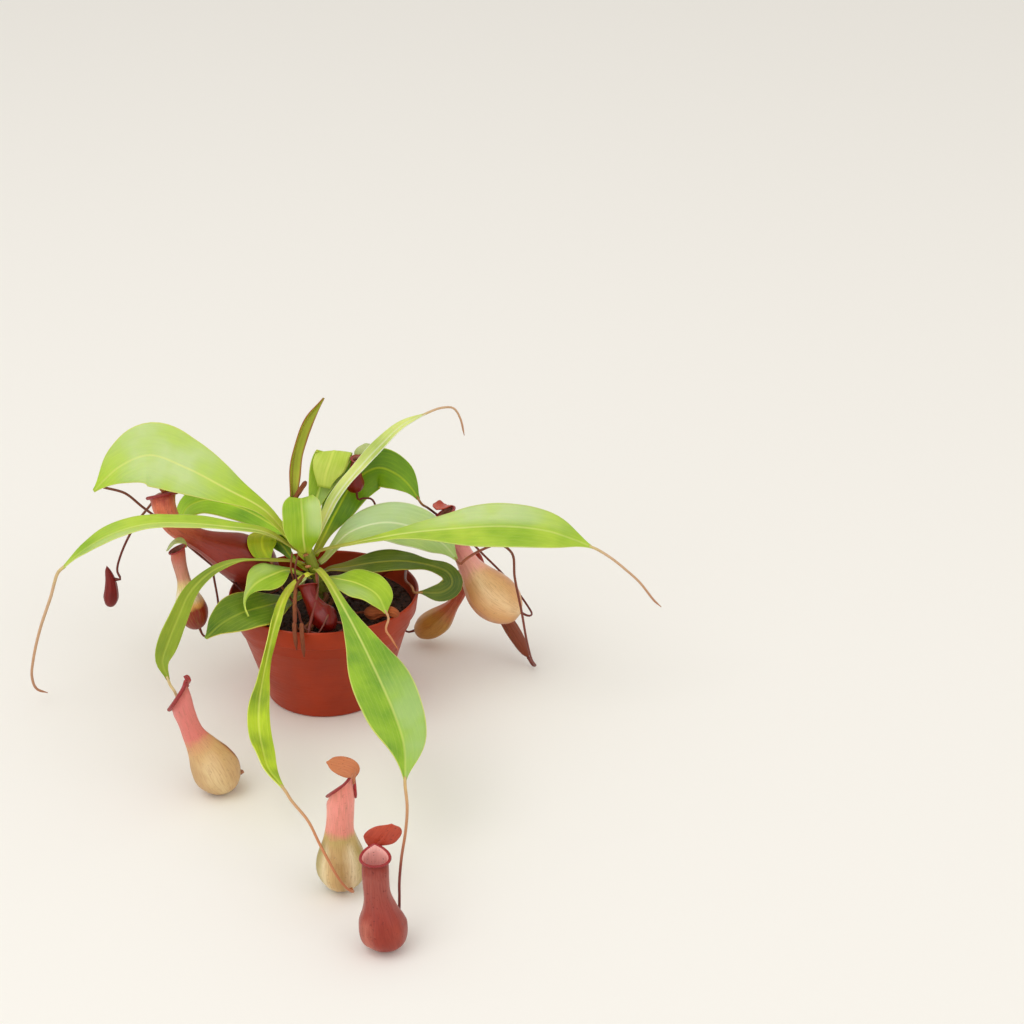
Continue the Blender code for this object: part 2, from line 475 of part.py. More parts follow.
class Pitcher:
    """One pitcher: its spine and the points of its skin."""

    def __init__(self, spec):
        self.spec = spec
        self.run = Run(spec["spine"])
        self.rings = spec["outline"]
        self.sides = spec["sides"]

    def skin(self, ring, side, stand_off=0.0):
        """A point on or above the skin, at a ring and a side counted from the front."""
        share, fraction = self.rings[ring]
        heading = self.run.heading(share)
        front = square_to(heading, Vector(self.spec["front"]))
        angle = 2 * math.pi * side / self.sides
        outward = front * math.cos(angle) + heading.cross(front) * math.sin(angle)
        lean = max(share - MOUTH_START, 0.0) / (1.0 - MOUTH_START)
        slide = -0.5 * self.spec["slant"] * math.cos(angle) * lean ** 2
        radius = self.spec["bulb"] * fraction + stand_off
        return self.run.place(share) + outward * radius + heading * slide

    def is_open(self):
        """Whether the mouth is open."""
        return self.rings[-1][1] > 0

    def mesh(self, name):
        """The skin, from a grid that is wrapped round the spine and closed at its seam and poles."""
        bm = bmesh.new()
        rows = len(self.rings) - 1
        bmesh.ops.create_grid(bm, x_segments=self.sides, y_segments=rows, size=0.5)
        for vert in bm.verts:
            side = round((vert.co.x + 0.5) * self.sides)
            ring = round((vert.co.y + 0.5) * rows)
            vert.co = self.skin(ring, side % self.sides) * MM
        bmesh.ops.remove_doubles(bm, verts=bm.verts, dist=MERGE)
        mesh = bpy.data.meshes.new(name)
        bm.to_mesh(mesh)
        bm.free()
        mesh.shade_smooth()
        return mesh


def build_lid(name, pitcher, guides):
    """The lid on its short neck, which stands in the back of the lip."""
    spec = pitcher.spec
    back = pitcher.sides // 2
    up = pitcher.run.heading(1.0)
    outward = -square_to(up, Vector(spec["front"]))
    root = pitcher.skin(-2, back, -0.4 * PITCHER_WALL) + up * (0.5 * PITCHER_WALL)
    run = Run([root, root + up * LID_NECK, *(root + Vector(point) for point in spec["lid"])])
    mesh = blade_mesh(f"{name}_lid", run, spec["lid_half"], DISC, [outward, spec["lid_up"]], 0.08, 6, 4)
    lid = add_object(f"{name}_lid", mesh, spec["finish"], guides)
    thicken(lid, LID_THICKNESS, 0.0)
    lid.hide_render = True
    lid.display_type = "WIRE"
    return lid


def build_pitcher(name, pitcher, group, guides):
    """One pitcher, hollow and with a lid where it is open."""
    item = add_object(name, pitcher.mesh(name), pitcher.spec["finish"], group)
    if pitcher.is_open():
        thicken(item, PITCHER_WALL, -1.0)
        join = item.modifiers.new("Lid", "BOOLEAN")
        join.operation = "UNION"
        join.object = build_lid(name, pitcher, guides)


def build_tendril(name, tendril, pitchers, group):
    """One tendril or stalk, a tapering tube."""
    radius = tendril["radius"]
    points = list(tendril["route"])
    if "leaf" in tendril:
        blade = leaf_run(LEAVES[tendril["leaf"]])
        tip = blade.place(1.0)
        onward = blade.heading(1.0)
        points = [tip + onward * TIP_CLEARANCE, tip + onward * 4.0, *points]
    else:
        points = [*foot_points(tendril["seat"], STEM_RADIUS + SEAT_CLEARANCE, 0.0), *points]
    if "pitcher" in tendril:
        pitcher = pitchers[tendril["pitcher"]]
        if "spot" in tendril:
            points += [pitcher.skin(*tendril["spot"], 4.0), pitcher.skin(*tendril["spot"], SPOT_CLEARANCE)]
        else:
            bottom = pitcher.run.place(0.0)
            away = -pitcher.run.heading(0.0)
            points += [bottom + away * 6.0, bottom + away * TIP_CLEARANCE]
    run = Run(points)
    steps = max(5, round(run.length / TENDRIL_STEP))
    shares = [step / steps for step in range(1, steps)]
    if "pitcher" in tendril:
        shares += [1.0 - 4.5 / run.length, 1.0 - 1.6 / run.length]
    shares = [0.0, 1.6 / run.length, *sorted(shares), 1.0]
    curve = bpy.data.curves.new(name, "CURVE")
    curve.dimensions = "3D"
    curve.bevel_depth = radius * MM
    curve.bevel_resolution = 1
    curve.use_fill_caps = True
    spline = curve.splines.new("POLY")
    spline.points.add(len(shares) - 1)
    for point, share in zip(spline.points, shares):
        point.co = (*(run.place(share) * MM), 1.0)
        point.radius = 1.15 - 0.3 * share
    spline.use_smooth = True
    add_object(name, curve, tendril["finish"], group)


def turned(name, profile, sides, finish, group):
    """A turned solid from its outline, which runs from the axis over the top and down the outer side."""
    bm = bmesh.new()
    verts = [bm.verts.new((x * MM, 0, z * MM)) for x, z in profile]
    for start, end in zip(verts, verts[1:]):
        bm.edges.new((start, end))
    mesh = bpy.data.meshes.new(name)
    bm.to_mesh(mesh)
    bm.free()
    item = add_object(name, mesh, finish, group)
    screw = item.modifiers.new("Turn", "SCREW")
    screw.steps = sides
    screw.render_steps = sides
    screw.use_merge_vertices = True
    screw.merge_threshold = MERGE
    screw.use_smooth_shade = True
    return item


def pot_radius(height):
    """The outer radius of the plain tapered wall at a height."""
    top = POT_HEIGHT - POT_BAND - POT_STEP
    return POT_BASE_RADIUS + (POT_RIM_RADIUS - 8.0 - POT_BASE_RADIUS) * height / top


def build_pot(group):
    """The pot: rim band, narrower band, tapered wall and flat base, with an even wall."""
    band_foot = POT_HEIGHT - POT_BAND
    step_foot = band_foot - POT_STEP
    wall_top = pot_radius(step_foot)
    inner_foot = 3.0
    profile = [
        (0.0, inner_foot),
        (pot_radius(inner_foot) - POT_WALL, inner_foot),
        (wall_top - POT_WALL, step_foot),
        (POT_RIM_RADIUS - 2.0 - POT_WALL - 2.0, band_foot - 1.0),
        (POT_RIM_RADIUS - 2.0 - POT_WALL, band_foot + 1.5),
        (POT_RIM_RADIUS - POT_WALL, POT_HEIGHT - 0.8),
        (POT_RIM_RADIUS - POT_WALL + 0.8, POT_HEIGHT),
        (POT_RIM_RADIUS - 0.8, POT_HEIGHT),
        (POT_RIM_RADIUS, POT_HEIGHT - 0.8),
        (POT_RIM_RADIUS - 2.0, band_foot + 0.6),
        (POT_RIM_RADIUS - 3.0, band_foot),
        (wall_top + 2.6, band_foot - 0.6),
        (wall_top + 1.4, step_foot + 0.5),
        (wall_top, step_foot),
        (POT_BASE_RADIUS + 0.6, 1.6),
        (POT_BASE_RADIUS - 1.0, 0.0),
        (0.0, 0.0),
    ]
    turned("pot", profile, POT_SIDES, TERRACOTTA, group)


def build_soil(group):
    """The peat fill: a lumpy top, the wall's taper, and a plain hole for the stem."""
    step_foot = POT_HEIGHT - POT_BAND - POT_STEP
    side_clearance = POT_WALL + 2 * TOUCH
    floor = 3.0 + TOUCH
    hole_floor = STEM_ROUTE[0][2] - TOUCH
    edge_radius = POT_RIM_RADIUS - 2.0 - side_clearance - 0.5
    profile = [
        (0.0, hole_floor),
        (STEM_HOLE, hole_floor),
        (STEM_HOLE, SOIL_RISE - 1.0),
        (STEM_HOLE + 5.0, SOIL_RISE),
        (22.0, SOIL_MIDDLE),
        (38.0, SOIL_MIDDLE - 0.6),
        (54.0, SOIL_EDGE),
        (edge_radius, SOIL_EDGE),
        (edge_radius - 2.5, POT_HEIGHT - POT_BAND - 1.2),
        (pot_radius(step_foot) - side_clearance, step_foot),
        (pot_radius(floor) - side_clearance, floor),
        (0.0, floor),
    ]
    item = turned("soil", profile, SOIL_SIDES, PEAT, group)
    depsgraph = bpy.context.evaluated_depsgraph_get()
    mesh = bpy.data.meshes.new_from_object(item.evaluated_get(depsgraph))
    item.modifiers.clear()
    item.data = mesh
    dice = random.Random(7)
    for vert in mesh.vertices:
        radius = math.hypot(vert.co.x, vert.co.y) / MM
        if vert.co.z / MM > SOIL_EDGE - 0.5 and STEM_HOLE + 2.0 < radius < edge_radius - 2.0:
            vert.co.z += dice.uniform(-SOIL_LUMP, SOIL_LUMP) * MM


def build_stem(group):
    """The short stem."""
    run = stem_run()
    steps = 9
    curve = bpy.data.curves.new("stem", "CURVE")
    curve.dimensions = "3D"
    curve.bevel_depth = STEM_RADIUS * MM
    curve.bevel_resolution = 3
    curve.use_fill_caps = True
    spline = curve.splines.new("POLY")
    spline.points.add(steps)
    for step, point in enumerate(spline.points):
        point.co = (*(run.place(step / steps) * MM), 1.0)
    spline.use_smooth = True
    add_object("stem", curve, GREEN_STEM, group)


def main():
    """Build every piece."""
    clear_scene()
    group = collection("potted_pitcher_plant")
    guides = collection("guides")
    build_pot(group)
    build_soil(group)
    build_stem(group)
    for name, leaf in LEAVES.items():
        build_leaf(name, leaf, group)
    pitchers = {name: Pitcher(spec) for name, spec in PITCHERS.items()}
    for name, pitcher in pitchers.items():
        build_pitcher(name, pitcher, group, guides)
    for name, tendril in TENDRILS.items():
        build_tendril(name, tendril, pitchers, group)


main()
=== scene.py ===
"""A potted tropical pitcher plant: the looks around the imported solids.

Places and sizes in the tables are in millimetres, as in the part's source, and turn into metres
where a mesh is made. +Z is up, -Y faces the camera, and the pot stands on the floor at the origin.
"""

import logging
import math
import random
from collections.abc import Callable
from dataclasses import dataclass, replace
from enum import Enum
from functools import cache

import bmesh
import bpy
from mathutils import Matrix, Vector, noise


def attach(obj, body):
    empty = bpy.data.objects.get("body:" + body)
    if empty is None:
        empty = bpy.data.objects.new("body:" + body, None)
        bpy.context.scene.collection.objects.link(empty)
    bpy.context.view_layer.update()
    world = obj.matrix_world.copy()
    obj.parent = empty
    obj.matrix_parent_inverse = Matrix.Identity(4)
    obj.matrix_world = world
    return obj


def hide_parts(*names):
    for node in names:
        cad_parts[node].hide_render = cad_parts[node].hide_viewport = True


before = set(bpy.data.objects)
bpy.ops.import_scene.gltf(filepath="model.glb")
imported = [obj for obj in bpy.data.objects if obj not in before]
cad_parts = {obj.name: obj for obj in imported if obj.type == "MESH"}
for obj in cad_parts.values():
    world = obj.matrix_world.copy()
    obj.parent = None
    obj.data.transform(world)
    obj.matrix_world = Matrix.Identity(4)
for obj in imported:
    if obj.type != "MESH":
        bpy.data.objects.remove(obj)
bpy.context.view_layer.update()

LOG = logging.getLogger("plant")
MM = 0.001
MERGE = 0.000005

Point = tuple[float, float, float]
Place = Callable[[float, float], Vector]
Socket = bpy.types.NodeSocket
Stops = tuple[tuple[float, str], ...]


def linear(shade: str) -> tuple[float, float, float, float]:
    """Turn an sRGB hex colour into linear light.

    Args:
        shade: The colour, as "#rrggbb".

    Returns:
        Red, green, blue and alpha, from 0 to 1.
    """
    parts = [int(shade[i:i + 2], 16) / 255 for i in (1, 3, 5)]
    red, green, blue = (p / 12.92 if p <= 0.04045 else ((p + 0.055) / 1.055) ** 2.4 for p in parts)
    return red, green, blue, 1.0


def feed(node: bpy.types.Node, inputs: dict) -> None:
    """Link or set inputs of a node.

    Args:
        node: The node.
        inputs: An output socket, a number, a tuple or a hex colour for each input, by name or number.
    """
    for key, value in inputs.items():
        if isinstance(value, Socket):
            node.id_data.links.new(value, node.inputs[key])
        else:
            node.inputs[key].default_value = linear(value) if isinstance(value, str) else value


class Surface:
    """A material in the making. Each method adds a node and gives the output that is used of it."""

    def __init__(self, name: str) -> None:
        """Start the material.

        Args:
            name: Its name: what the real surface is, and how it came about.
        """
        self.item = bpy.data.materials.new(name)
        self.item.use_nodes = True
        self.tree = self.item.node_tree
        self.shader = self.tree.nodes["Principled BSDF"]

    def add(self, kind: str, inputs: dict, output: int | str = 0, **settings: object) -> Socket:
        """Add a node.

        Args:
            kind: The node's type name, without "ShaderNode".
            inputs: Its inputs, as for feed.
            output: The output that is wanted, by name or number.
            settings: Properties of the node.

        Returns:
            The output socket.
        """
        node = self.tree.nodes.new(f"ShaderNode{kind}")
        for key, value in settings.items():
            setattr(node, key, value)
        feed(node, inputs)
        return node.outputs[output]

    def place(self) -> Socket:
        """The point on the object, in metres."""
        return self.add("TexCoord", {}, "Object")

    def uv(self, name: str) -> Socket:
        """A UV map as a vector."""
        return self.add("UVMap", {}, uv_map=name)

    def readings(self, name: str) -> tuple[Socket, Socket]:
        """The two numbers that a UV map holds."""
        first = self.add("SeparateXYZ", {0: self.uv(name)})
        return first, first.node.outputs[1]

    def calc(self, operation: str, *values: float | Socket) -> Socket:
        """A sum of numbers and sockets."""
        return self.add("Math", dict(enumerate(values)), operation=operation)

    def remap(self, value: Socket, low: float, high: float, bottom: float = 0.0, top: float = 1.0,
              is_smooth: bool = False) -> Socket:
        """Stretch a value, and hold it between two ends.

        Args:
            value: The value.
            low: Where it gives the bottom.
            high: Where it gives the top. It may lie under low.
            bottom: The result at low.
            top: The result at high.
            is_smooth: Whether it leaves and reaches them softly.

        Returns:
            The result.
        """
        return self.add("MapRange", {0: value, 1: low, 2: high, 3: bottom, 4: top},
                        interpolation_type="SMOOTHSTEP" if is_smooth else "LINEAR")

    def mix(self, share: Socket, first: Socket | str, second: Socket | str) -> Socket:
        """Lay the second colour over the first by a share."""
        return self.add("Mix", {0: share, 6: first, 7: second}, 2, data_type="RGBA")

    def ramp(self, spot: Socket, stops: Stops) -> Socket:
        """Read a colour from a ramp.

        Args:
            spot: Where the ramp is read.
            stops: Its places and hex colours.

        Returns:
            The colour.
        """
        shade = self.add("ValToRGB", {0: spot})
        marks = shade.node.color_ramp.elements
        for index, (place, code) in enumerate(stops):
            mark = marks[index] if index < 2 else marks.new(place)
            mark.position = place
            mark.color = linear(code)
        return shade

    def noise(self, vector: Socket, scale: float, detail: float, roughness: float = 0.5) -> Socket:
        """Cloudy noise, with scale in cells per metre."""
        return self.add("TexNoise", {"Vector": vector, "Scale": scale, "Detail": detail, "Roughness": roughness})

    def streaks(self, vector: Socket, scale: Point, detail: float) -> Socket:
        """Noise that is drawn out, with its cells per metre along each axis."""
        return self.noise(self.add("Mapping", {"Vector": vector, "Scale": scale}), 1.0, detail)

    def wave(self, value: Socket, length: float) -> Socket:
        """The height of a sine wave of a length in millimetres, with its troughs turned up."""
        turned = self.calc("MULTIPLY", value, 2 * math.pi / (length * MM))
        return self.calc("ABSOLUTE", self.calc("SINE", turned))

    def dress(self, shade: Socket, roughness: Socket | float, height: Socket, strength: float, depth: float,
              constants: dict) -> bpy.types.Material:
        """Feed the shader.

        Args:
            shade: The base colour.
            roughness: The roughness.
            height: The relief.
            strength: How strongly the relief shows.
            depth: The depth of the relief in millimetres.
            constants: The shader's other inputs.

        Returns:
            The finished material.
        """
        relief = self.add("Bump", {"Strength": strength, "Distance": depth * MM, "Height": height})
        feed(self.shader, {"Base Color": shade, "Roughness": roughness, "Normal": relief, **constants})
        return self.item


def smooth_step(low: float, high: float, value: float) -> float:
    """Rise smoothly from 0 at low to 1 at high."""
    t = min(max((value - low) / (high - low), 0.0), 1.0)
    return t * t * (3 - 2 * t)


def blend_values(values: tuple | list, share: float) -> float | Vector:
    """Read evenly spaced values smoothly.

    Args:
        values: Numbers or vectors.
        share: How far along they are read, from 0 to 1.

    Returns:
        The value there.
    """
    spot = min(max(share, 0.0), 1.0) * (len(values) - 1)
    index = min(int(spot), len(values) - 2)
    t = spot - index
    a = values[max(index - 1, 0)]
    b = values[index]
    c = values[index + 1]
    d = values[min(index + 2, len(values) - 1)]
    return 0.5 * (2 * b + (c - a) * t + (2 * a - 5 * b + 4 * c - d) * t ** 2 + (3 * b - a - 3 * c + d) * t ** 3)


def square_to(direction: Vector, guide: Vector) -> Vector:
    """The part of a guide that stands square to a direction."""
    return (guide - direction * guide.dot(direction)).normalized()


class Route:
    """A smooth line through given points, read at shares of its length."""

    STEPS = 14

    def __init__(self, points: list | tuple) -> None:
        """Work out the line.

        Args:
            points: The points that it passes, in order.
        """
        knots = [Vector(point) for point in points]
        knots = [2 * knots[0] - knots[1], *knots, 2 * knots[-1] - knots[-2]]
        self.places = [knots[1]]
        for a, b, c, d in zip(knots, knots[1:], knots[2:], knots[3:]):
            self.places += [self._between(a, b, c, d, step / self.STEPS) for step in range(1, self.STEPS + 1)]
        self.reach = [0.0]
        for before, after in zip(self.places, self.places[1:]):
            self.reach.append(self.reach[-1] + (after - before).length)
        self.length = self.reach[-1]

    @staticmethod
    def _between(a: Vector, b: Vector, c: Vector, d: Vector, t: float) -> Vector:
        """A point between two knots, which may be unevenly spaced.

        Args:
            a: The knot before them.
            b: The first of them.
            c: The second.
            d: The knot after them.
            t: How far on the point is, from 0 at b to 1 at c.

        Returns:
            The point.
        """
        first = math.sqrt((b - a).length)
        second = first + math.sqrt((c - b).length)
        third = second + math.sqrt((d - c).length)
        spot = first + (second - first) * t
        near = a.lerp(b, spot / first)
        middle = b.lerp(c, (spot - first) / (second - first))
        far = c.lerp(d, (spot - second) / (third - second))
        inner = near.lerp(middle, spot / second)
        outer = middle.lerp(far, (spot - first) / (third - first))
        return inner.lerp(outer, (spot - first) / (second - first))

    def place(self, share: float) -> Vector:
        """Find a point of the line.

        Args:
            share: The share of the length at which it lies. It is held between 0 and 1.

        Returns:
            The point.
        """
        target = min(max(share, 0.0), 1.0) * self.length
        low, high = 0, len(self.reach) - 2
        while low < high:
            middle = (low + high) // 2
            low, high = (middle + 1, high) if self.reach[middle + 1] < target else (low, middle)
        stretch = self.reach[low + 1] - self.reach[low]
        return self.places[low].lerp(self.places[low + 1], (target - self.reach[low]) / stretch)

    def heading(self, share: float, step: float = 0.015) -> Vector:
        """The direction of travel at a share of the length."""
        return (self.place(share + step) - self.place(share - step)).normalized()


def mapped_grid(around: int, along: int, place: Place, grain: Place, is_closed: bool = False) -> bmesh.types.BMesh:
    """A grid bent into a piece, with two UV maps.

    The map "span" runs from 0 to 1 both ways, and the map "grain" holds real distances in metres.

    Args:
        around: Faces across the piece, or round it.
        along: Faces along it.
        place: The point in millimetres for a turn and a share, both from 0 to 1.
        grain: The two distances in millimetres for the same, as x and y of a vector.
        is_closed: Whether the seam and the poles are merged.

    Returns:
        The bent grid, whose faces look along turn x share.
    """
    bm = bmesh.new()
    bmesh.ops.create_grid(bm, x_segments=around, y_segments=along, size=0.5)
    span_map = bm.loops.layers.uv.new("span")
    grain_map = bm.loops.layers.uv.new("grain")
    for face in bm.faces:
        for loop in face.loops:
            turn, share = loop.vert.co.x + 0.5, loop.vert.co.y + 0.5
            loop[span_map].uv = (turn, share)
            loop[grain_map].uv = grain(turn, share).xy * MM
    for vert in bm.verts:
        vert.co = place(vert.co.x + 0.5, vert.co.y + 0.5) * MM
    if is_closed:
        bmesh.ops.remove_doubles(bm, verts=bm.verts, dist=MERGE)
    return bm


def turned_mesh(outline: list[tuple[float, float]], segments: int) -> bmesh.types.BMesh:
    """Turn an outline round the upright axis into a closed mesh.

    Args:
        outline: Radius and height pairs in millimetres, from the axis to the axis.
        segments: Faces round it.

    Returns:
        The mesh in metres.
    """
    bm = bmesh.new()
    verts = [bm.verts.new((radius * MM, 0, height * MM)) for radius, height in outline]
    edges = [bm.edges.new(pair) for pair in zip(verts, verts[1:])]
    bmesh.ops.spin(bm, geom=verts + edges, cent=(0, 0, 0), axis=(0, 0, 1), angle=2 * math.pi, steps=segments,
                   use_merge=True)
    bmesh.ops.remove_doubles(bm, verts=bm.verts, dist=MERGE)
    bmesh.ops.recalc_face_normals(bm, faces=bm.faces)
    return bm


def add_piece(name: str, bm: bmesh.types.BMesh, materials: list, slot: str, *nodes: str) -> bpy.types.Object:
    """Make an object of a mesh, on the part's one body.

    Args:
        name: The piece's name.
        bm: Its mesh, in metres.
        materials: Its materials, in order.
        slot: The record's material slot; it is not used.
        nodes: The CAD nodes that it stands for.

    Returns:
        The object.
    """
    mesh = bpy.data.meshes.new(name)
    bm.to_mesh(mesh)
    bm.free()
    mesh.shade_smooth()
    for material in materials:
        mesh.materials.append(material)
    item = bpy.data.objects.new(name, mesh)
    bpy.context.scene.collection.objects.link(item)
    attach(item, "root")
    if nodes:
        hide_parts(*nodes)
    LOG.info("%s: %d faces", name, len(mesh.polygons))
    return item


def thicken(item: bpy.types.Object, thickness: float, offset: float) -> None:
    """Give an open surface its wall, with the second material on its back.

    Args:
        item: The piece.
        thickness: The wall in millimetres.
        offset: Where the surface lies in the wall, from -1 at its outside to 0 in its middle.
    """
    wall = item.modifiers.new("Wall", "SOLIDIFY")
    wall.thickness = thickness * MM
    wall.offset = offset
    wall.use_rim = True
    wall.material_offset = 1


class Side(Enum):
    """The two faces of a blade."""

    UPPER = "upper"
    UNDER = "under"


@dataclass(frozen=True)
class LeafFinish:
    """Leaf cuticle, waxy: softly glossy and smooth above, paler and duller below.

    Pale margins catch the eye first, then the midrib, then faint veins that run along the blade.
    A painted sheen, a pale painted reflection, lies on part of the blade: sheen holds the turns where
    it is absent and full, the share where it is strongest, how far it reaches along the blade, and its strength.
    """

    name: str
    upper: str
    deep: str
    margin: str
    rib: str
    under: str
    base: str
    rib_width: float = 0.9
    rim_start: float = 0.478
    sheen: tuple[float, float, float, float, float] | None = None
    sheen_shade: str = "#d3e2a4"

    VEIN_WAVE = 6.0
    SLANT_WAVE = 10.0
    NARROW_RIM = 0.478
    RIM_END = 0.498

    @cache
    def material(self, side: Side) -> bpy.types.Material:
        """Make the material of one face.

        Args:
            side: Which face it is for.

        Returns:
            The material.
        """
        is_upper = side is Side.UPPER
        work = Surface(f"leaf_cuticle_{self.name}_{side.value}")
        turn, share = work.readings("span")
        off_middle, along = work.readings("grain")

        # Cloudy patches about 26 mm across, and streaks 1.5 mm wide that follow the blade
        patches = work.noise(work.place(), 38.0, 2.0)
        streaks = work.streaks(work.uv("grain"), (650.0, 55.0, 1.0), 2.0)
        mottle = work.remap(work.calc("MULTIPLY_ADD", streaks, 0.4, patches), 0.50, 0.94)
        shade = work.mix(mottle, *((self.upper, self.deep) if is_upper else (self.under, self.upper)))

        # Veins: thin lines every 3 mm along the blade, and finer ones every 5 mm at a slant to the midrib
        off_rib = work.calc("ABSOLUTE", off_middle)
        drift = work.calc("ADD", off_rib, work.calc("MULTIPLY", streaks, 1.2 * MM))
        slope = work.calc("MULTIPLY_ADD", drift, 1.3, along)
        long_vein = work.remap(work.wave(drift, self.VEIN_WAVE), 0.20, 0.0, is_smooth=True)
        slant_vein = work.remap(work.wave(slope, self.SLANT_WAVE), 0.12, 0.0, top=0.55, is_smooth=True)
        veins = work.calc("MAXIMUM", long_vein, slant_vein)
        shade = work.mix(work.calc("MULTIPLY", veins, 0.13 if is_upper else 0.22), shade, self.margin)
        # Painted sheen: a pale wash over part of the upper face that stands in for the lamps' reflection
        if is_upper and self.sheen:
            shade = work.mix(self._painted_sheen_cover(work, turn, share, patches), shade, self.sheen_shade)

        # Pale margin, midrib, and the yellower foot of the blade
        off_centre = work.calc("ABSOLUTE", work.calc("SUBTRACT", turn, 0.5))
        strength = 0.60 + (self.NARROW_RIM - self.rim_start) * 4
        shade = work.mix(work.remap(off_centre, self.rim_start, self.RIM_END, top=strength, is_smooth=True), shade,
                         self.margin)
        near_rib = work.remap(off_rib, self.rib_width * 1.5 * MM, self.rib_width * 0.3 * MM, is_smooth=True)
        fading = work.remap(share, 0.0, 1.0, 0.66, 0.22)
        shade = work.mix(work.calc("MULTIPLY", near_rib, fading), shade, self.rib)
        shade = work.mix(work.remap(share, 0.30, 0.02, top=0.75, is_smooth=True), shade, self.base)

        # The gloss varies with the streaks, and the veins are sunk above and raised below
        roughness = work.remap(streaks, 0.3, 0.7, *((0.36, 0.48) if is_upper else (0.52, 0.64)))
        height = work.calc("MULTIPLY_ADD", veins, -0.30 if is_upper else 0.35, patches)
        height = work.calc("MULTIPLY_ADD", streaks, 0.35, height)
        return work.dress(shade, roughness, height, 0.45, 0.4, {
            "IOR": 1.45, "Specular IOR Level": 0.36, "Coat Weight": 0.12 if is_upper else 0.0,
            "Coat Roughness": 0.30, "Subsurface Weight": 0.12, "Subsurface Radius": (0.4, 1.0, 0.15),
            "Subsurface Scale": 0.0016})

    def _painted_sheen_cover(self, work: Surface, turn: Socket, share: Socket, patches: Socket) -> Socket:
        """Work out how strongly the painted sheen, a pale painted reflection, lies.

        Args:
            work: The material in the making.
            turn: The place across the blade.
            share: The place along it.
            patches: The cloudy noise that breaks up the painted sheen.

        Returns:
            The cover, from 0 to 1.
        """
        absent, full, middle, reach, strength = self.sheen
        side = work.remap(turn, absent, full, is_smooth=True)
        away = work.calc("ABSOLUTE", work.calc("SUBTRACT", share, middle))
        near = work.remap(away, reach, reach * 0.25, top=strength, is_smooth=True)
        cloud = work.remap(patches, 0.32, 0.58, bottom=0.45)
        return work.calc("MULTIPLY", work.calc("MULTIPLY", side, near), cloud)


@dataclass(frozen=True)
class FibreFinish:
    """Plant tissue with fibres along it, grown: its colour changes from one end to the other.

    It is the finish of the tendrils, the pitchers and their lids: fleshy walls with fine darker
    lines, a few red specks and a low satin gloss. Round a pitcher's bulb a second ramp lays painted
    highlights, painted shade towards its edges, and real stripes.
    """

    name: str
    fibre: str
    stops: Stops
    # A second ramp round the bulb with painted highlights, painted shade towards its edges and real stripes; where it
    # fades out, and how strongly it shows
    painted_light_and_stripes: Stops = ()
    painted_light_and_stripes_end: float = 0.56
    painted_light_and_stripes_weight: float = 0.75
    speck: str = "#5a1410"
    specks: float = 0.0
    fibre_strength: float = 0.35
    fibre_width: float = 0.7
    roughness: float = 0.36
    coat: float = 0.22
    relief: float = 0.5
    wander: float = 0.10

    @cache
    def material(self) -> bpy.types.Material:
        """Make the material.

        Returns:
            The material, whose ramp runs along the map "span".
        """
        work = Surface(f"plant_tissue_{self.name}")
        turn, share = work.readings("span")
        place = work.place()
        clouds = work.noise(place, 110.0, 4.0, 0.6)
        drift = work.calc("SUBTRACT", clouds, 0.5)
        spot = work.calc("MULTIPLY_ADD", drift, self.wander * 2, share)
        shade = work.ramp(spot, self.stops)
        if self.painted_light_and_stripes:
            # Round the bulb lie painted highlights, painted shade towards its edges and real stripes, fading out
            # towards the neck
            painted_light_and_stripes = work.ramp(work.calc("MULTIPLY_ADD", drift, self.wander, turn), self.painted_light_and_stripes)
            fading = work.remap(spot, self.painted_light_and_stripes_end, self.painted_light_and_stripes_end - 0.14, top=self.painted_light_and_stripes_weight, is_smooth=True)
            shade = work.mix(fading, shade, painted_light_and_stripes)

        # Fibres: long thin streaks of the real width, drawn out twelve times along the piece
        fine = 1.0 / (self.fibre_width * MM)
        fibres = work.streaks(work.uv("grain"), (fine, fine / 12, 1.0), 3.0)
        shade = work.mix(work.remap(fibres, 0.46, 0.66, top=self.fibre_strength), shade, self.fibre)

        # Specks about 1 mm across
        dots = work.noise(place, 620.0, 1.0)
        shade = work.mix(work.remap(dots, 0.66, 0.72, top=self.specks), shade, self.speck)
        roughness = work.remap(clouds, 0.3, 0.7, self.roughness, self.roughness + 0.14)
        return work.dress(shade, roughness, fibres, self.relief, 0.3, {
            "IOR": 1.45, "Specular IOR Level": 0.36, "Coat Weight": self.coat, "Coat Roughness": 0.22,
            "Subsurface Weight": 0.08, "Subsurface Radius": (1.0, 0.4, 0.2), "Subsurface Scale": 0.0015})


@dataclass(frozen=True)
class PotFinish:
    """Polypropylene, injection moulded: even terracotta colour, satin gloss, dull handling marks."""

    shade: str = "#a8340c"
    shade_deep: str = "#942c08"

    @cache
    def material(self) -> bpy.types.Material:
        """Make the material.

        Returns:
            The material, which needs no UV map.
        """
        work = Surface("polypropylene_moulded")
        place = work.place()
        clouds = work.noise(place, 28.0, 5.0, 0.6)
        shade = work.mix(work.remap(clouds, 0.35, 0.65), self.shade, self.shade_deep)

        # Rub marks: streaks 14 mm long and 1 mm high that run round the wall
        marks = work.streaks(place, (70.0, 70.0, 900.0), 4.0)
        roughness = work.remap(marks, 0.4, 0.7, 0.36, 0.54)
        grit = work.noise(place, 1400.0, 2.0)
        return work.dress(shade, roughness, grit, 0.12, 0.2, {"IOR": 1.49, "Specular IOR Level": 0.25})


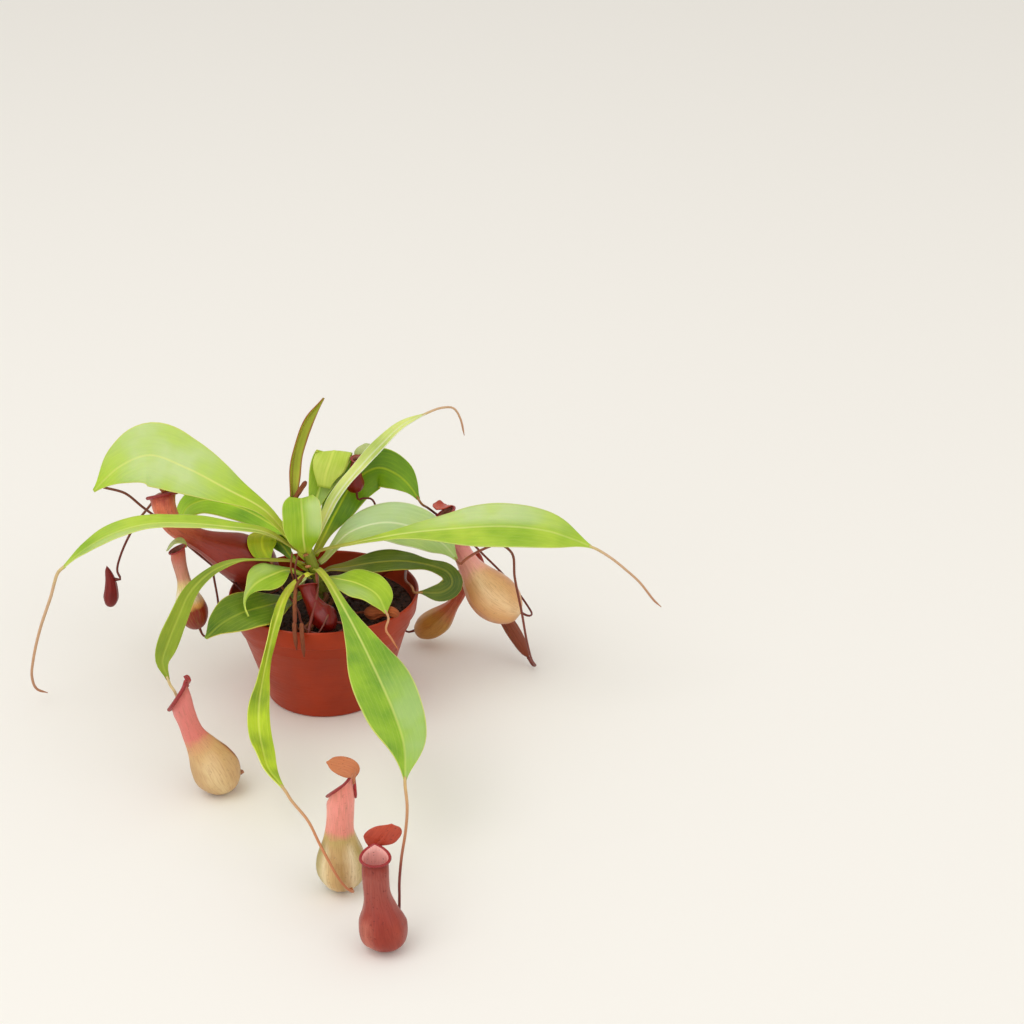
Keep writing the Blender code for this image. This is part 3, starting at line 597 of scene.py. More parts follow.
@dataclass(frozen=True)
class PeatFinish:
    """Sphagnum peat, milled and moist: almost black crumbs with brown fibres."""

    dark: str = "#2a160d"
    brown: str = "#5c331e"
    roughness: float = 0.88

    @cache
    def material(self) -> bpy.types.Material:
        """Make the material.

        Returns:
            The material, with crumbs 2.4 mm across.
        """
        work = Surface("sphagnum_peat_moist")
        crumbs = work.noise(work.place(), 420.0, 6.0, 0.7)
        shade = work.mix(work.remap(crumbs, 0.42, 0.68), self.dark, self.brown)
        return work.dress(shade, self.roughness, crumbs, 0.9, 1.2, {})


# Leaf finishes: fresh ones are lime, old ones olive, and the ones in the shade of the crown are dark
# Finishes given a sheen carry a painted sheen: a pale painted reflection on part of the blade
LIME = LeafFinish(
    "lime", "#b0cd2c", "#87ae1c", "#e9e97a", "#f0ed88", "#cfd663", "#c4c546", sheen=(0.5, 0.85, 0.7, 0.35, 0.5))
# Lime whose painted sheen, a pale painted reflection, spreads over both halves of the blade
LIME_PAINTED_SHEEN = replace(LIME, name="lime_painted_sheen", sheen=(-0.5, 0.35, 0.64, 0.36, 0.72))
LIME_PALE = LeafFinish(
    "lime_pale", "#b5ce3d", "#8eb326", "#e3e986", "#ebee94", "#c7d56a", "#b3a03b",
    sheen=(0.52, 0.22, 0.62, 0.34, 0.55), sheen_shade="#d6e2ae")
BROAD = LeafFinish(
    "broad", "#96bc22", "#699917", "#f6f088", "#f6f48f", "#c9d162", "#bdba38", sheen=(0.54, 0.4, 0.88, 0.38, 0.55),
    sheen_shade="#bdd88c")
MOSS = LeafFinish("moss", "#b9d020", "#809e13", "#f6f67f", "#f6f67a", "#f6f663", "#f6f655")
OLIVE_LEAF = LeafFinish("olive", "#90a41e", "#748b14", "#c8d34d", "#cad34f", "#a2a931", "#9d8728")
OLIVE_GREEN = LeafFinish("olive_green", "#b1e024", "#81b618", "#f6f687", "#f6f65c", "#f6f664", "#d0d73b")
SAGE = LeafFinish("sage", "#dfe786", "#b1c45e", "#f6f6ee", "#f6f6e9", "#f6f5c1", "#d5cf69")
SAGE_DEEP = LeafFinish(
    "sage_deep", "#b4cb69", "#86aa45", "#f6f6c9", "#f6f6cd", "#dfe7a9", "#b9ba5c", sheen=(1.5, 0.2, 0.55, 0.7, 0.6),
    sheen_shade="#c3d8aa")
OCHRE_LEAF = LeafFinish(
    "ochre", "#b4bc2e", "#98a424", "#9c4a24", "#8c3c1c", "#a8943c", "#a8582c", rib_width=0.8, rim_start=0.4)
MEADOW = LeafFinish(
    "meadow", "#a6c528", "#7ea61b", "#f0f672", "#f3f679", "#cbdb60", "#b2b835", sheen=(0.5, 0.8, 0.6, 0.4, 0.35))
MEADOW_DEEP = LeafFinish("meadow_deep", "#77a004", "#547f01", "#d9e11f", "#dde722", "#bab618", "#9c9609")
BOTTLE = LeafFinish("bottle", "#637316", "#3c5409", "#c1ad38", "#a9a232", "#a49735", "#887d20")
BOTTLE_LIGHT = LeafFinish("bottle_light", "#819b1b", "#507309", "#f6e15d", "#c1c740", "#c1ba46", "#9a9b29")

# Fibrous finishes: name, colour of the fibres, places from the bottom or foot with their colours, and the ramp round
# the bulb with painted highlights, painted edge shade and real stripes
APRICOT_SKIN = FibreFinish(
    "apricot", "#ae7051", ((0.0, "#a6814c"), (0.08, "#c3985d"), (0.3, "#d7af79"), (0.5, "#d5ac72"),
    (0.58, "#d89c6e"), (0.64, "#e07c70"), (0.92, "#e4817b"), (1.0, "#b74c44")), ((0.0, "#ae9061"), (0.2, "#c7a36e"),
    (0.32, "#e8cf9c"), (0.44, "#d7b17f"), (0.55, "#cfa56e"), (0.57, "#81271a"), (0.61, "#913727"),
    (0.66, "#bf8355"), (1.0, "#ae9061")), specks=0.2, wander=0.05, painted_light_and_stripes_end=0.54)
OCHRE_SKIN = FibreFinish(
    "ochre", "#9f6f41", ((0.0, "#ac522d"), (0.06, "#b47843"), (0.2, "#cea267"), (0.42, "#d6af78"), (0.6, "#c5ab67"),
    (0.66, "#ec9381"), (0.85, "#f69a8c"), (1.0, "#e88978")), ((0.0, "#96914c"), (0.14, "#9f9551"),
    (0.22, "#ecd9a8"), (0.29, "#d6b378"), (0.36, "#b49155"), (0.44, "#f0ddb1"), (0.52, "#ac9a51"),
    (0.62, "#94783f"), (1.0, "#96914c")), specks=0.2, wander=0.04, painted_light_and_stripes_end=0.62, painted_light_and_stripes_weight=0.85)
MAROON_SKIN = FibreFinish(
    "maroon", "#6d170b", ((0.0, "#8f2512"), (0.15, "#9e2d19"), (0.45, "#9a2f1e"), (0.6, "#9e3f32"),
    (0.85, "#a04d40"), (0.95, "#8f3121"), (1.0, "#7f1e0e")), ((0.0, "#8c2c1a"), (0.1, "#a5432f"), (0.2, "#8e2c1a"),
    (0.5, "#7c2013"), (0.78, "#9f4331"), (0.88, "#cf7f6a"), (0.95, "#9f3b29"), (1.0, "#8c2c1a")), specks=0.5,
    speck="#4e0906", painted_light_and_stripes_weight=0.6)
SAND_SKIN = FibreFinish(
    "sand", "#be8557", ((0.0, "#d9a76c"), (0.15, "#eebb80"), (0.45, "#f4c38e"), (0.58, "#f3ab9e"),
    (0.75, "#dd8485"), (0.92, "#d06e71"), (1.0, "#af352d")), ((0.0, "#d8a267"), (0.09, "#f6d4a3"), (0.2, "#e4ae70"),
    (0.33, "#bb6c41"), (0.6, "#bb7441"), (0.86, "#ae5e38"), (0.93, "#cf915b"), (1.0, "#d8a267")), specks=0.15,
    wander=0.06, painted_light_and_stripes_end=0.6)
OLIVE_SKIN = FibreFinish(
    "olive", "#7b5421",
    ((0.0, "#b68236"), (0.15, "#bb8436"), (0.42, "#b68236"), (0.56, "#b8623a"), (0.8, "#b1472d"), (1.0, "#8f2919")),
    specks=0.2)
UMBER_SKIN = FibreFinish(
    "umber", "#591f06", ((0.0, "#7e320c"), (0.3, "#85390d"), (0.6, "#903211"), (0.8, "#a22f13"), (1.0, "#94240c")),
    specks=0.2)
GREEN_SKIN = FibreFinish(
    "green", "#927b30", ((0.0, "#802210"), (0.33, "#8e2d16"), (0.37, "#e2a759"), (0.48, "#f6eccb"),
    (0.6, "#e4cc88"), (0.7, "#d09078"), (0.84, "#c88070"), (1.0, "#bb4434")), specks=0.2, wander=0.04)
CRIMSON_SKIN = FibreFinish(
    "crimson", "#67160d", ((0.0, "#892d16"), (0.2, "#8a2c1d"), (0.45, "#8f2919"), (0.6, "#9d331d"),
    (0.74, "#cc6444"), (0.92, "#d8704c"), (1.0, "#9d2312")), specks=0.35)
WINE_SKIN = FibreFinish(
    "wine", "#4f0401", ((0.0, "#770c01"), (0.3, "#770901"), (0.65, "#7c0c01"), (1.0, "#750e01")), specks=0.4)
RUST_SKIN = FibreFinish("rust", "#501706", ((0.0, "#742b0d"), (0.5, "#7c2c0f"), (1.0, "#7c210c")), specks=0.35)
WITHERED_SKIN = FibreFinish(
    "withered", "#6a3015", ((0.0, "#9e4c23"), (0.4, "#c0683b"), (0.8, "#b7602f"), (1.0, "#8c4421")),
    fibre_strength=0.7, fibre_width=1.4, roughness=0.7, coat=0.0, relief=1.0)
INSIDE = {"specks": 0.5, "roughness": 0.45, "coat": 0.0}
PALE_INSIDE = FibreFinish(
    "inside_pale", "#905040", ((0.0, "#7c5c34"), (0.6, "#a86c54"), (1.0, "#b87460")), **INSIDE)
RED_INSIDE = FibreFinish("inside_red", "#843c30", ((0.0, "#6c3024"), (0.6, "#9a5c4e"), (1.0, "#ac6c5e")), **INSIDE)
ROSE_INSIDE = FibreFinish(
    "inside_rose", "#bb7064", ((0.0, "#a85d51"), (0.6, "#e19a90"), (1.0, "#f4b4ab")), **INSIDE)
RED_LIP = FibreFinish(
    "lip_red", "#5c0c0c", ((0.0, "#94181a"), (0.5, "#ac2a2c"), (1.0, "#94181a")), fibre_strength=0.3,
    roughness=0.22, coat=0.5)
AMBER_LID = FibreFinish(
    "lid_amber", "#a2502c", ((0.0, "#bb6d40"), (0.5, "#ca7b4d"), (1.0, "#c77b4b")), specks=0.8, speck="#682a13")
ROSE_LID = FibreFinish(
    "lid_rose", "#8a2414", ((0.0, "#982c18"), (0.5, "#b8452c"), (1.0, "#c24c30")), specks=0.5, speck="#4a0b06")
GREEN_LID = FibreFinish("lid_green", "#94a04c", ((0.0, "#a8a450"), (0.5, "#b4c078"), (1.0, "#b8c480")), specks=0.15)

# Tendrils, stalks and the stem
TAN_CORD = FibreFinish(
    "tendril_tan", "#956747", ((0.0, "#d8c582"), (0.2, "#d4b38c"), (0.7, "#c89d79"), (1.0, "#b17759")),
    fibre_width=0.4)
RED_CORD = FibreFinish(
    "tendril_red", "#481409", ((0.0, "#a8793e"), (0.12, "#80452c"), (0.6, "#702d1e"), (1.0, "#6c2417")),
    fibre_width=0.4)
BLUSH_CORD = FibreFinish(
    "tendril_blush", "#582014",
    ((0.0, "#a8a450"), (0.03, "#b06a50"), (0.15, "#a85a48"), (0.24, "#80452c"), (0.6, "#7c3424"), (1.0, "#742a1c")),
    fibre_width=0.4)
DUSK_CORD = FibreFinish(
    "tendril_dusk", "#90523c",
    ((0.0, "#d9c27c"), (0.2, "#d0a070"), (0.5, "#b87850"), (0.72, "#80302a"), (1.0, "#6c1c18")), fibre_width=0.4)
AMBER_CORD = FibreFinish(
    "tendril_amber", "#a06040", ((0.0, "#d1bb7a"), (0.15, "#cfa474"), (0.5, "#cf8c5c"), (1.0, "#c07044")),
    fibre_width=0.4)
DRY_CORD = FibreFinish(
    "stalk_dry", "#4c2410", ((0.0, "#7c4c2c"), (0.5, "#9c5c34"), (1.0, "#80402a")), fibre_strength=0.7,
    fibre_width=0.5, roughness=0.75, coat=0.0, relief=1.0)
STEM_FINISH = FibreFinish(
    "stem", "#5c5420", ((0.0, "#6c5a2c"), (0.3, "#7c7c2c"), (0.7, "#8c962c"), (1.0, "#98a438")), roughness=0.5,
    relief=0.9)

# Half width along a blade, as a share of its widest, at even steps from foot to tip
STRAP = (0.26, 0.40, 0.66, 0.90, 1.00, 0.96, 0.70, 0.12)
SLENDER = (0.30, 0.36, 0.42, 0.47, 0.54, 0.70, 0.94, 1.00, 0.16)
PADDLE = (0.14, 0.16, 0.26, 0.60, 0.95, 1.00, 0.78, 0.05)
OVAL = (0.20, 0.19, 0.40, 0.78, 1.00, 0.90, 0.55, 0.06)
RIBBON = (0.30, 0.34, 0.40, 0.46, 0.56, 0.72, 0.94, 1.00, 0.80, 0.14)
CHANNEL = (0.60, 0.80, 0.80, 0.78, 0.80, 0.86, 0.90, 0.80, 0.50, 0.14)
WEDGE = (0.14, 0.18, 0.36, 0.66, 0.90, 1.00, 0.62, 0.05)
HOOKED = (0.24, 0.45, 0.75, 1.00, 1.00, 0.74, 0.42, 0.55, 0.78, 0.58, 0.08)
SPOON = (0.16, 0.30, 0.76, 1.00, 0.98, 0.74, 0.08)
THREAD = (0.18, 0.16, 0.26, 0.66, 1.00, 0.90, 0.28, 0.06, 0.05)
LOBE = (0.14, 0.16, 0.26, 0.60, 0.95, 1.00, 0.92, 0.35)
BROAD_END = (0.16, 0.34, 0.72, 0.98, 1.00, 0.96, 0.62)
LID_DISC = (0.15, 0.18, 0.60, 0.88, 1.00, 0.99, 0.88, 0.62, 0.05)

# Pitcher outlines: share of the spine, share of the bulb's radius
FULL_PITCHER = (
    (0.0, 0.0), (0.025, 0.46), (0.09, 0.80), (0.20, 1.00), (0.34, 0.95), (0.47, 0.72), (0.60, 0.57),
    (0.76, 0.55), (0.93, 0.58), (0.985, 0.60), (1.0, 0.67), (0.985, 0.71),
)
SLIM_PITCHER = (
    (0.0, 0.0), (0.025, 0.44), (0.09, 0.78), (0.20, 1.00), (0.33, 0.96), (0.46, 0.70), (0.58, 0.47),
    (0.72, 0.41), (0.90, 0.47), (0.985, 0.52), (1.0, 0.59), (0.985, 0.63),
)
TAPERED_PITCHER = (
    (0.0, 0.0), (0.025, 0.44), (0.09, 0.78), (0.20, 1.00), (0.33, 0.90), (0.46, 0.66), (0.58, 0.49),
    (0.72, 0.42), (0.90, 0.47), (0.985, 0.52), (1.0, 0.59), (0.985, 0.63),
)
SHORT_PITCHER = (
    (0.0, 0.0), (0.04, 0.52), (0.14, 0.88), (0.30, 1.00), (0.50, 0.78), (0.70, 0.60), (0.96, 0.66),
    (1.0, 0.80), (0.975, 0.85),
)
BUD = ((0.0, 0.0), (0.05, 0.60), (0.20, 1.00), (0.42, 0.92), (0.66, 0.66), (0.88, 0.32), (1.0, 0.0))
CLOSED_PITCHER = ((0.0, 0.0), (0.06, 0.60), (0.25, 1.00), (0.50, 0.72), (0.75, 0.66), (0.95, 0.45), (1.0, 0.0))


@dataclass
class Sheet:
    """A thin blade bent along a route, with a shallow channel, a midrib and waved margins."""

    name: str
    half: float
    outline: tuple[float, ...]
    facing: tuple[Point, ...]
    fold: float = 0.1
    wave: float = 0.5
    beats: float = 3.0
    rib: float = 0.35
    thickness: float = 0.7
    across: int = 22
    along: int = 56
    skew: float = 0.0

    # How unevenly the faces lie across, how late the margins rise, and how far apart their waves run
    CROWDING = 1.25
    CHANNEL = 1.35
    WAVE_SHIFT = 1.9
    # The midrib's half width, and the height and the fineness of the blade's slow swells
    RIB_WIDTH = 0.8
    SWELL = 0.35
    SWELL_SCALE = 0.09

    def run(self) -> Route:
        """The line of the midrib."""
        raise NotImplementedError

    def spread(self, turn: float) -> float:
        """The place across, from -1 to 1, with faces that are narrower at the midrib."""
        span = turn * 2 - 1
        return math.copysign(abs(span) ** self.CROWDING, span)

    def width(self, share: float) -> float:
        """Half the blade's width at a share of its length."""
        return self.half * blend_values(self.outline, share)

    def point(self, run: Route, turn: float, share: float) -> Vector:
        """A point of the blade.

        Args:
            run: The midrib.
            turn: Across the blade, from 0 to 1.
            share: Along the blade, from 0 to 1.

        Returns:
            The point in millimetres.
        """
        across = self.spread(turn)
        heading = run.heading(share)
        upper = square_to(heading, blend_values([Vector(v) for v in self.facing], share))
        side = heading.cross(upper)
        width = self.width(share)
        lift = width * self.fold * abs(across) ** self.CHANNEL
        phase = 0.0 if across > 0 else self.WAVE_SHIFT
        calm = smooth_step(0.0, 0.25, share) * smooth_step(1.0, 0.88, share)
        lift += self.wave * abs(across) ** 3 * calm * math.sin(2 * math.pi * self.beats * share + phase)
        lift -= self.rib * math.exp(-(width * across / self.RIB_WIDTH) ** 2) * smooth_step(1.0, 0.9, share)
        place = run.place(share)
        spot = place * self.SWELL_SCALE + side * (width * across * self.SWELL_SCALE)
        lift += self.SWELL * noise.noise(spot) * abs(across) * calm
        return place + (side + heading * self.skew) * (width * across) + upper * lift

    def mesh(self) -> bmesh.types.BMesh:
        """Bend the surface.

        Returns:
            The mesh, whose faces look to the upper side.
        """
        run = self.run()
        return mapped_grid(
            self.across, self.along, lambda turn, share: self.point(run, turn, share),
            lambda turn, share: Vector((self.width(share) * self.spread(turn), share * run.length, 0)))


@dataclass(kw_only=True)
class Leaf(Sheet):
    """One leaf, from its foot on the stem to its tip."""

    finish: LeafFinish
    route: tuple[Point, ...]
    seat: tuple[float, float] | None = None
    top: Point | None = None
    slot: str = "leaf_fresh"

    def run(self) -> Route:
        """The line of the midrib, which starts at a seat on the stem or at the stem's top."""
        start = [self.top, Vector(self.top) + Vector((-1, 2, 6))] if self.top else STEM.foot(self.seat)
        return Route([*start, *self.route])

    def build(self) -> None:
        """Build the blade and dress it."""
        faces = [self.finish.material(side) for side in Side]
        thicken(add_piece(f"{self.name}_blade", self.mesh(), faces, self.slot, self.name), self.thickness, 0.0)


@dataclass(frozen=True)
class Stem:
    """The short stem that the leaves stand on."""

    route: tuple[Point, ...] = (
        (0, 0, 49), (0, 0, 62), (0, 0, 76), (-2, 0, 87), (-6, 0, 99), (-10, 0, 112), (-13, 0, 123))
    radius: float = 4.6
    clearance: float = 0.8
    foot_length: float = 5.0

    def at_height(self, height: float) -> Vector:
        """Find the stem's centre at a height.

        Args:
            height: The height in millimetres.

        Returns:
            The point.
        """
        run = Route(self.route)
        low, high = 0.0, 1.0
        for _ in range(20):
            middle = (low + high) / 2
            low, high = (middle, high) if run.place(middle).z < height else (low, middle)
        return run.place(low)

    def foot(self, seat: tuple[float, float], rise: float = 0.6) -> list[Vector]:
        """Two points where a leaf or a stalk leaves the stem.

        Args:
            seat: The height on the stem, and the compass angle from +X.
            rise: How steeply it sets out.

        Returns:
            The foot and a point further out.
        """
        height, compass = seat
        turn = math.radians(compass)
        outward = Vector((math.cos(turn), math.sin(turn), 0))
        foot = self.at_height(height) + outward * (self.radius + self.clearance)
        return [foot, foot + (outward + Vector((0, 0, rise))).normalized() * self.foot_length]

    def girth(self, share: float) -> float:
        """The bark's radius, with the low rings that old leaves left."""
        ring = 0.35 * math.exp(-((share * 9) % 1.0 - 0.5) ** 2 / 0.01)
        return self.radius * (1.0 - 0.12 * share) - 0.3 + ring

    def build(self) -> None:
        """Build the bark."""
        build_tube("stem_bark", Route(self.route), self.girth, STEM_FINISH, "stem", "stem", around=24, step=1.2)


STEM = Stem()


def build_tube(name: str, run: Route, radius: Callable[[float], float], finish: FibreFinish, slot: str, node: str,
               around: int = 10, step: float = 2.0) -> None:
    """Build a round tube along a route, closed at both ends.

    Args:
        name: The piece's name.
        run: Its centre line.
        radius: Its radius in millimetres at a share of the length.
        finish: Its finish.
        slot: The record's material slot.
        node: The CAD node that it stands for.
        around: Faces round it.
        step: The length of a face in millimetres.
    """
    count = max(8, round(run.length / step))
    guide = Vector((0.31, 0.17, 0.93))
    frames = []
    for index in range(count + 1):
        guide = square_to(run.heading(index / count), guide)
        frames.append(guide.copy())

    def place(turn: float, share: float) -> Vector:
        """A point of the tube.

        Args:
            turn: Round it, from 0 to 1.
            share: Along it, from 0 to 1.

        Returns:
            The point in millimetres.
        """
        index = round(share * count)
        if index in (0, count):
            return run.place(share)
        along = (index - 1) / (count - 2)
        heading = run.heading(along)
        angle = 2 * math.pi * turn
        first = square_to(heading, frames[index])
        outward = first * math.cos(angle) + heading.cross(first) * math.sin(angle)
        return run.place(along) + outward * radius(along)

    def grain(turn: float, share: float) -> Vector:
        """The distances round and along the tube."""
        return Vector((turn * 2 * math.pi * radius(0.5), share * run.length, 0))

    bm = mapped_grid(around, count, place, grain, is_closed=True)
    add_piece(name, bm, [finish.material()], slot, node)


@dataclass(kw_only=True)
class Lid(Sheet):
    """A pitcher's lid on its short neck, which grows from the back of the lip."""

    points: tuple[Vector, ...]

    def run(self) -> Route:
        """The line from the lip to the far end of the lid."""
        return Route(self.points)


@dataclass
class Pitcher:
    """One pitcher: a tapering cup on a bent spine, with wings, a rolled lip and a lid."""

    name: str
    outline: tuple[tuple[float, float], ...]
    bulb: float
    slant: float
    front: Point
    spine: tuple[Point, ...]
    finish: FibreFinish
    slot: str
    inside: FibreFinish = RED_INSIDE
    cover: FibreFinish = ROSE_LID
    lid: tuple[Point, Point] | None = None
    lid_half: float = 0.0
    lid_up: Point = (0, 0, 1)
    lid_skew: float = 0.0
    sides: int = 12
    peak: float = 1.5
    peak_spread: float = 0.45
    narrow: float = 0.0
    flat: float = 0.0
    ribs: float = 0.22
    wing: float = 0.7
    lip: float = 1.5

    WALL = 0.8
    MOUTH_START = 0.55
    CAD_WALL = 0.9
    LID_NECK = 2.5
    LIP_RIDGES = 72
    BODY_RIBS = 7
    WING_ANGLE = math.radians(20)
    WING_SPREAD = 0.006
    FLAT_SPREAD = 0.95
    SWELL = 0.035
    SWELL_SCALE = 0.07

    def __post_init__(self) -> None:
        """Work out the spine and the smooth outline."""
        self.run = Route(self.spine)
        shares = [share for share, part in self.outline]
        rings = self.outline[:shares.index(max(shares)) + 1]
        self.profile = Route([(share * self.run.length, part * self.bulb, 0) for share, part in rings])
        self.is_open = self.outline[-1][1] > 0

    def outward(self, heading: Vector, angle: float) -> Vector:
        """The way out of the cup, square to a heading and at an angle from its front."""
        front = square_to(heading, Vector(self.front))
        return front * math.cos(angle) + heading.cross(front) * math.sin(angle)

    def lean(self, spot: float) -> float:
        """How much of the mouth's slant a place on the spine has, from 0 to 1."""
        return max(spot - self.MOUTH_START, 0.0) / (1.0 - self.MOUTH_START)

    def skin(self, turn: float, share: float, stand_off: float = 0.0) -> Vector:
        """A point on or above the skin.

        Args:
            turn: Round the pitcher from its front, from 0 to 1.
            share: Along the outline, from the bottom to the mouth.
            stand_off: The height above the skin in millimetres.

        Returns:
            The point in millimetres.
        """
        reading = self.profile.place(share)
        spot = reading.x / self.run.length
        heading = self.run.heading(spot)
        angle = 2 * math.pi * turn
        outward = self.outward(heading, angle)
        lean = self.lean(spot)
        slide = -0.5 * self.slant * math.cos(angle) * lean ** 2
        off_back = abs(turn - 0.5) * 2 * math.pi
        slide += self.peak * math.exp(-off_back / self.peak_spread) * lean ** 3 if self.is_open else 0.0
        off_front = min(turn, 1.0 - turn) * 2 * math.pi
        flat = self.flat * lean ** 2 * math.exp(-(off_front / self.FLAT_SPREAD) ** 2)
        radius = reading.y * (1.0 - flat) + stand_off
        radius -= reading.y * self.narrow * smooth_step(0.86, 1.0, spot)
        ribs = self.ribs * math.cos(self.BODY_RIBS * angle + 1.0)
        radius += ribs * smooth_step(0.05, 0.25, spot) * smooth_step(0.85, 0.5, spot)
        off_wings = ((angle - side * self.WING_ANGLE + math.pi) % (2 * math.pi) - math.pi for side in (-1, 1))
        wings = sum(math.exp(-off_wing ** 2 / self.WING_SPREAD) for off_wing in off_wings)
        radius += self.wing * wings * smooth_step(0.08, 0.3, spot) * smooth_step(1.0, 0.9, spot)
        place = self.run.place(spot)
        swell = noise.noise((place + outward * reading.y) * self.SWELL_SCALE) * self.SWELL * reading.y
        return place + outward * (radius + swell) + heading * slide

    def ring_point(self, ring: int, side: float, stand_off: float) -> Vector:
        """A point above the solid's plainer skin.

        Args:
            ring: The outline's ring.
            side: The side of the ring, counted from the front.
            stand_off: The height above the skin in millimetres.

        Returns:
            The point in millimetres.
        """
        share, part = self.outline[ring]
        heading = self.run.heading(share)
        angle = 2 * math.pi * side / self.sides
        slide = -0.5 * self.slant * math.cos(angle) * self.lean(share) ** 2
        return self.run.place(share) + self.outward(heading, angle) * (self.bulb * part + stand_off) + heading * slide

    def build(self) -> None:
        """Build the cup, the lip and the lid."""
        girth = 2 * math.pi * self.bulb * 0.8
        bm = mapped_grid(56, 72, self.skin, lambda turn, share: Vector((turn * girth, share * self.run.length, 0)),
                         is_closed=True)
        skins = [self.finish, self.inside] if self.is_open else [self.finish]
        cup = add_piece(f"{self.name}_cup", bm, [skin.material() for skin in skins], self.slot, self.name)
        if self.is_open:
            thicken(cup, self.WALL, -1.0)
            self.build_lip()
            self.build_lid()

    def build_lip(self) -> None:
        """Build the rolled lip, with fine ridges across it."""

        def place(turn: float, share: float) -> Vector:
            """A point of the lip.

            Args:
                turn: Round the mouth, from 0 to 1.
                share: Round the roll, from 0 to 1.

            Returns:
                The point in millimetres.
            """
            centre = self.skin(turn, 1.0, -0.35)
            along = (self.skin(turn + 0.006, 1.0) - self.skin(turn - 0.006, 1.0)).normalized()
            outward = square_to(along, centre - self.skin(turn, 1.0, -2.5))
            angle = 2 * math.pi * share
            ridge = 1.0 + 0.06 * math.sin(2 * math.pi * self.LIP_RIDGES * turn)
            roll = outward * (0.25 + math.cos(angle)) + outward.cross(along) * (0.25 + 0.85 * math.sin(angle))
            return centre + roll * (self.lip * ridge)

        bm = mapped_grid(self.LIP_RIDGES * 3, 12, place, lambda turn, share: Vector((turn * 60.0, share * 6.0, 0)),
                         is_closed=True)
        add_piece(f"{self.name}_lip", bm, [RED_LIP.material()], self.slot, self.name)

    def build_lid(self) -> None:
        """Build the lid, which stands in the back of the lip."""
        up = self.run.heading(1.0)
        outward = -square_to(up, Vector(self.front))
        root = self.ring_point(-2, self.sides // 2, -0.4 * self.CAD_WALL) + up * (0.5 * self.CAD_WALL)
        points = (root - up * 1.0, root + up * self.LID_NECK, *(root + Vector(point) for point in self.lid))
        blade = Lid(f"{self.name}_lid", self.lid_half, LID_DISC, (tuple(outward), self.lid_up), fold=0.16, wave=0.25,
                    beats=1.5, rib=-0.5, thickness=0.9, across=20, along=26, skew=self.lid_skew, points=points)
        item = add_piece(blade.name, blade.mesh(), [self.cover.material()] * 2, self.slot, self.name)
        thicken(item, blade.thickness, 0.0)


@dataclass
class Tendril:
    """A tendril that runs on from a blade's tip, or a stalk from the stem, often to a pitcher."""

    name: str
    radius: float
    finish: FibreFinish
    slot: str
    route: tuple[Point, ...]
    leaf: str = ""
    seat: tuple[float, float] | None = None
    pitcher: str = ""
    spot: tuple[int, int] | None = None
    stout: float = 1.0
    is_tucked: bool = False
    hug: float = 4.0

    def start(self, leaves: dict[str, Leaf]) -> list[Vector]:
        """The line's points at its start, with those that are listed.

        Args:
            leaves: The leaves by name.

        Returns:
            The points, from the blade's tip or the stem on.
        """
        points = [Vector(point) for point in self.route]
        if not self.leaf:
            return [*STEM.foot(self.seat, 0.0), *points]
        blade = leaves[self.leaf].run()
        if self.is_tucked:
            # It leaves the blade's underside just before the tip, and turns back behind it
            under = -square_to(blade.heading(0.93), Vector(leaves[self.leaf].facing[-1]))
            return [blade.place(0.93) + under * 0.6, blade.place(0.93) + under * 5.0, *points[1:]]
        tip, onward = blade.place(1.0), blade.heading(1.0)
        return [tip - onward * 2.5, tip + onward * 4.0, *points]

    def end(self, pitchers: dict[str, Pitcher]) -> list[Vector]:
        """The line's points at its pitcher.

        Args:
            pitchers: The pitchers by name.

        Returns:
            Two points, or none for a free end.
        """
        if not self.pitcher:
            return []
        cup = pitchers[self.pitcher]
        if self.spot:
            return [cup.ring_point(*self.spot, self.hug), cup.ring_point(*self.spot, -0.4)]
        bottom, away = cup.run.place(0.0), -cup.run.heading(0.0)
        return [bottom + away * 6.0, bottom - away * 1.2]

    def build(self, leaves: dict[str, Leaf], pitchers: dict[str, Pitcher]) -> None:
        """Build the tube.

        Args:
            leaves: The leaves by name.
            pitchers: The pitchers by name.
        """
        run = Route(self.start(leaves) + self.end(pitchers))

        def radius(share: float) -> float:
            """The radius, which shrinks to a free end and swells to a pitcher.

            Args:
                share: The share of the length.

            Returns:
                The radius in millimetres.
            """
            size = self.radius * (0.95 - 0.2 * share) * self.stout
            if self.pitcher:
                return size * (1.0 + 0.7 * math.exp(-(1 - share) * run.length / 3.5))
            return size * (1.0 - 0.65 * smooth_step(1.0 - 6.0 / run.length, 1.0, share))

        build_tube(f"{self.name}_tube", run, radius, self.finish, self.slot, self.name)


@dataclass(frozen=True)
class Twig:
    """A dry bit of the crown: the rest of an old stalk or sheath, closed and rounded at both ends."""

    name: str
    girth: float
    finish: FibreFinish
    slot: str
    points: tuple[Point, ...]
    node: str = "stem"

    def build(self) -> None:
        """Build the tube, thinner towards its ends."""
        run = Route(self.points)

        def radius(share: float) -> float:
            """The radius, uneven and smaller at the ends."""
            ends = smooth_step(0.0, 0.6 / run.length, share) * smooth_step(1.0, 1.0 - 2.0 / run.length, share)
            return self.girth * (0.55 + 0.45 * ends) * (1.0 + 0.10 * noise.noise(run.place(share) * 0.4))

        build_tube(self.name, run, radius, self.finish, self.slot, self.node, around=12, step=1.2)


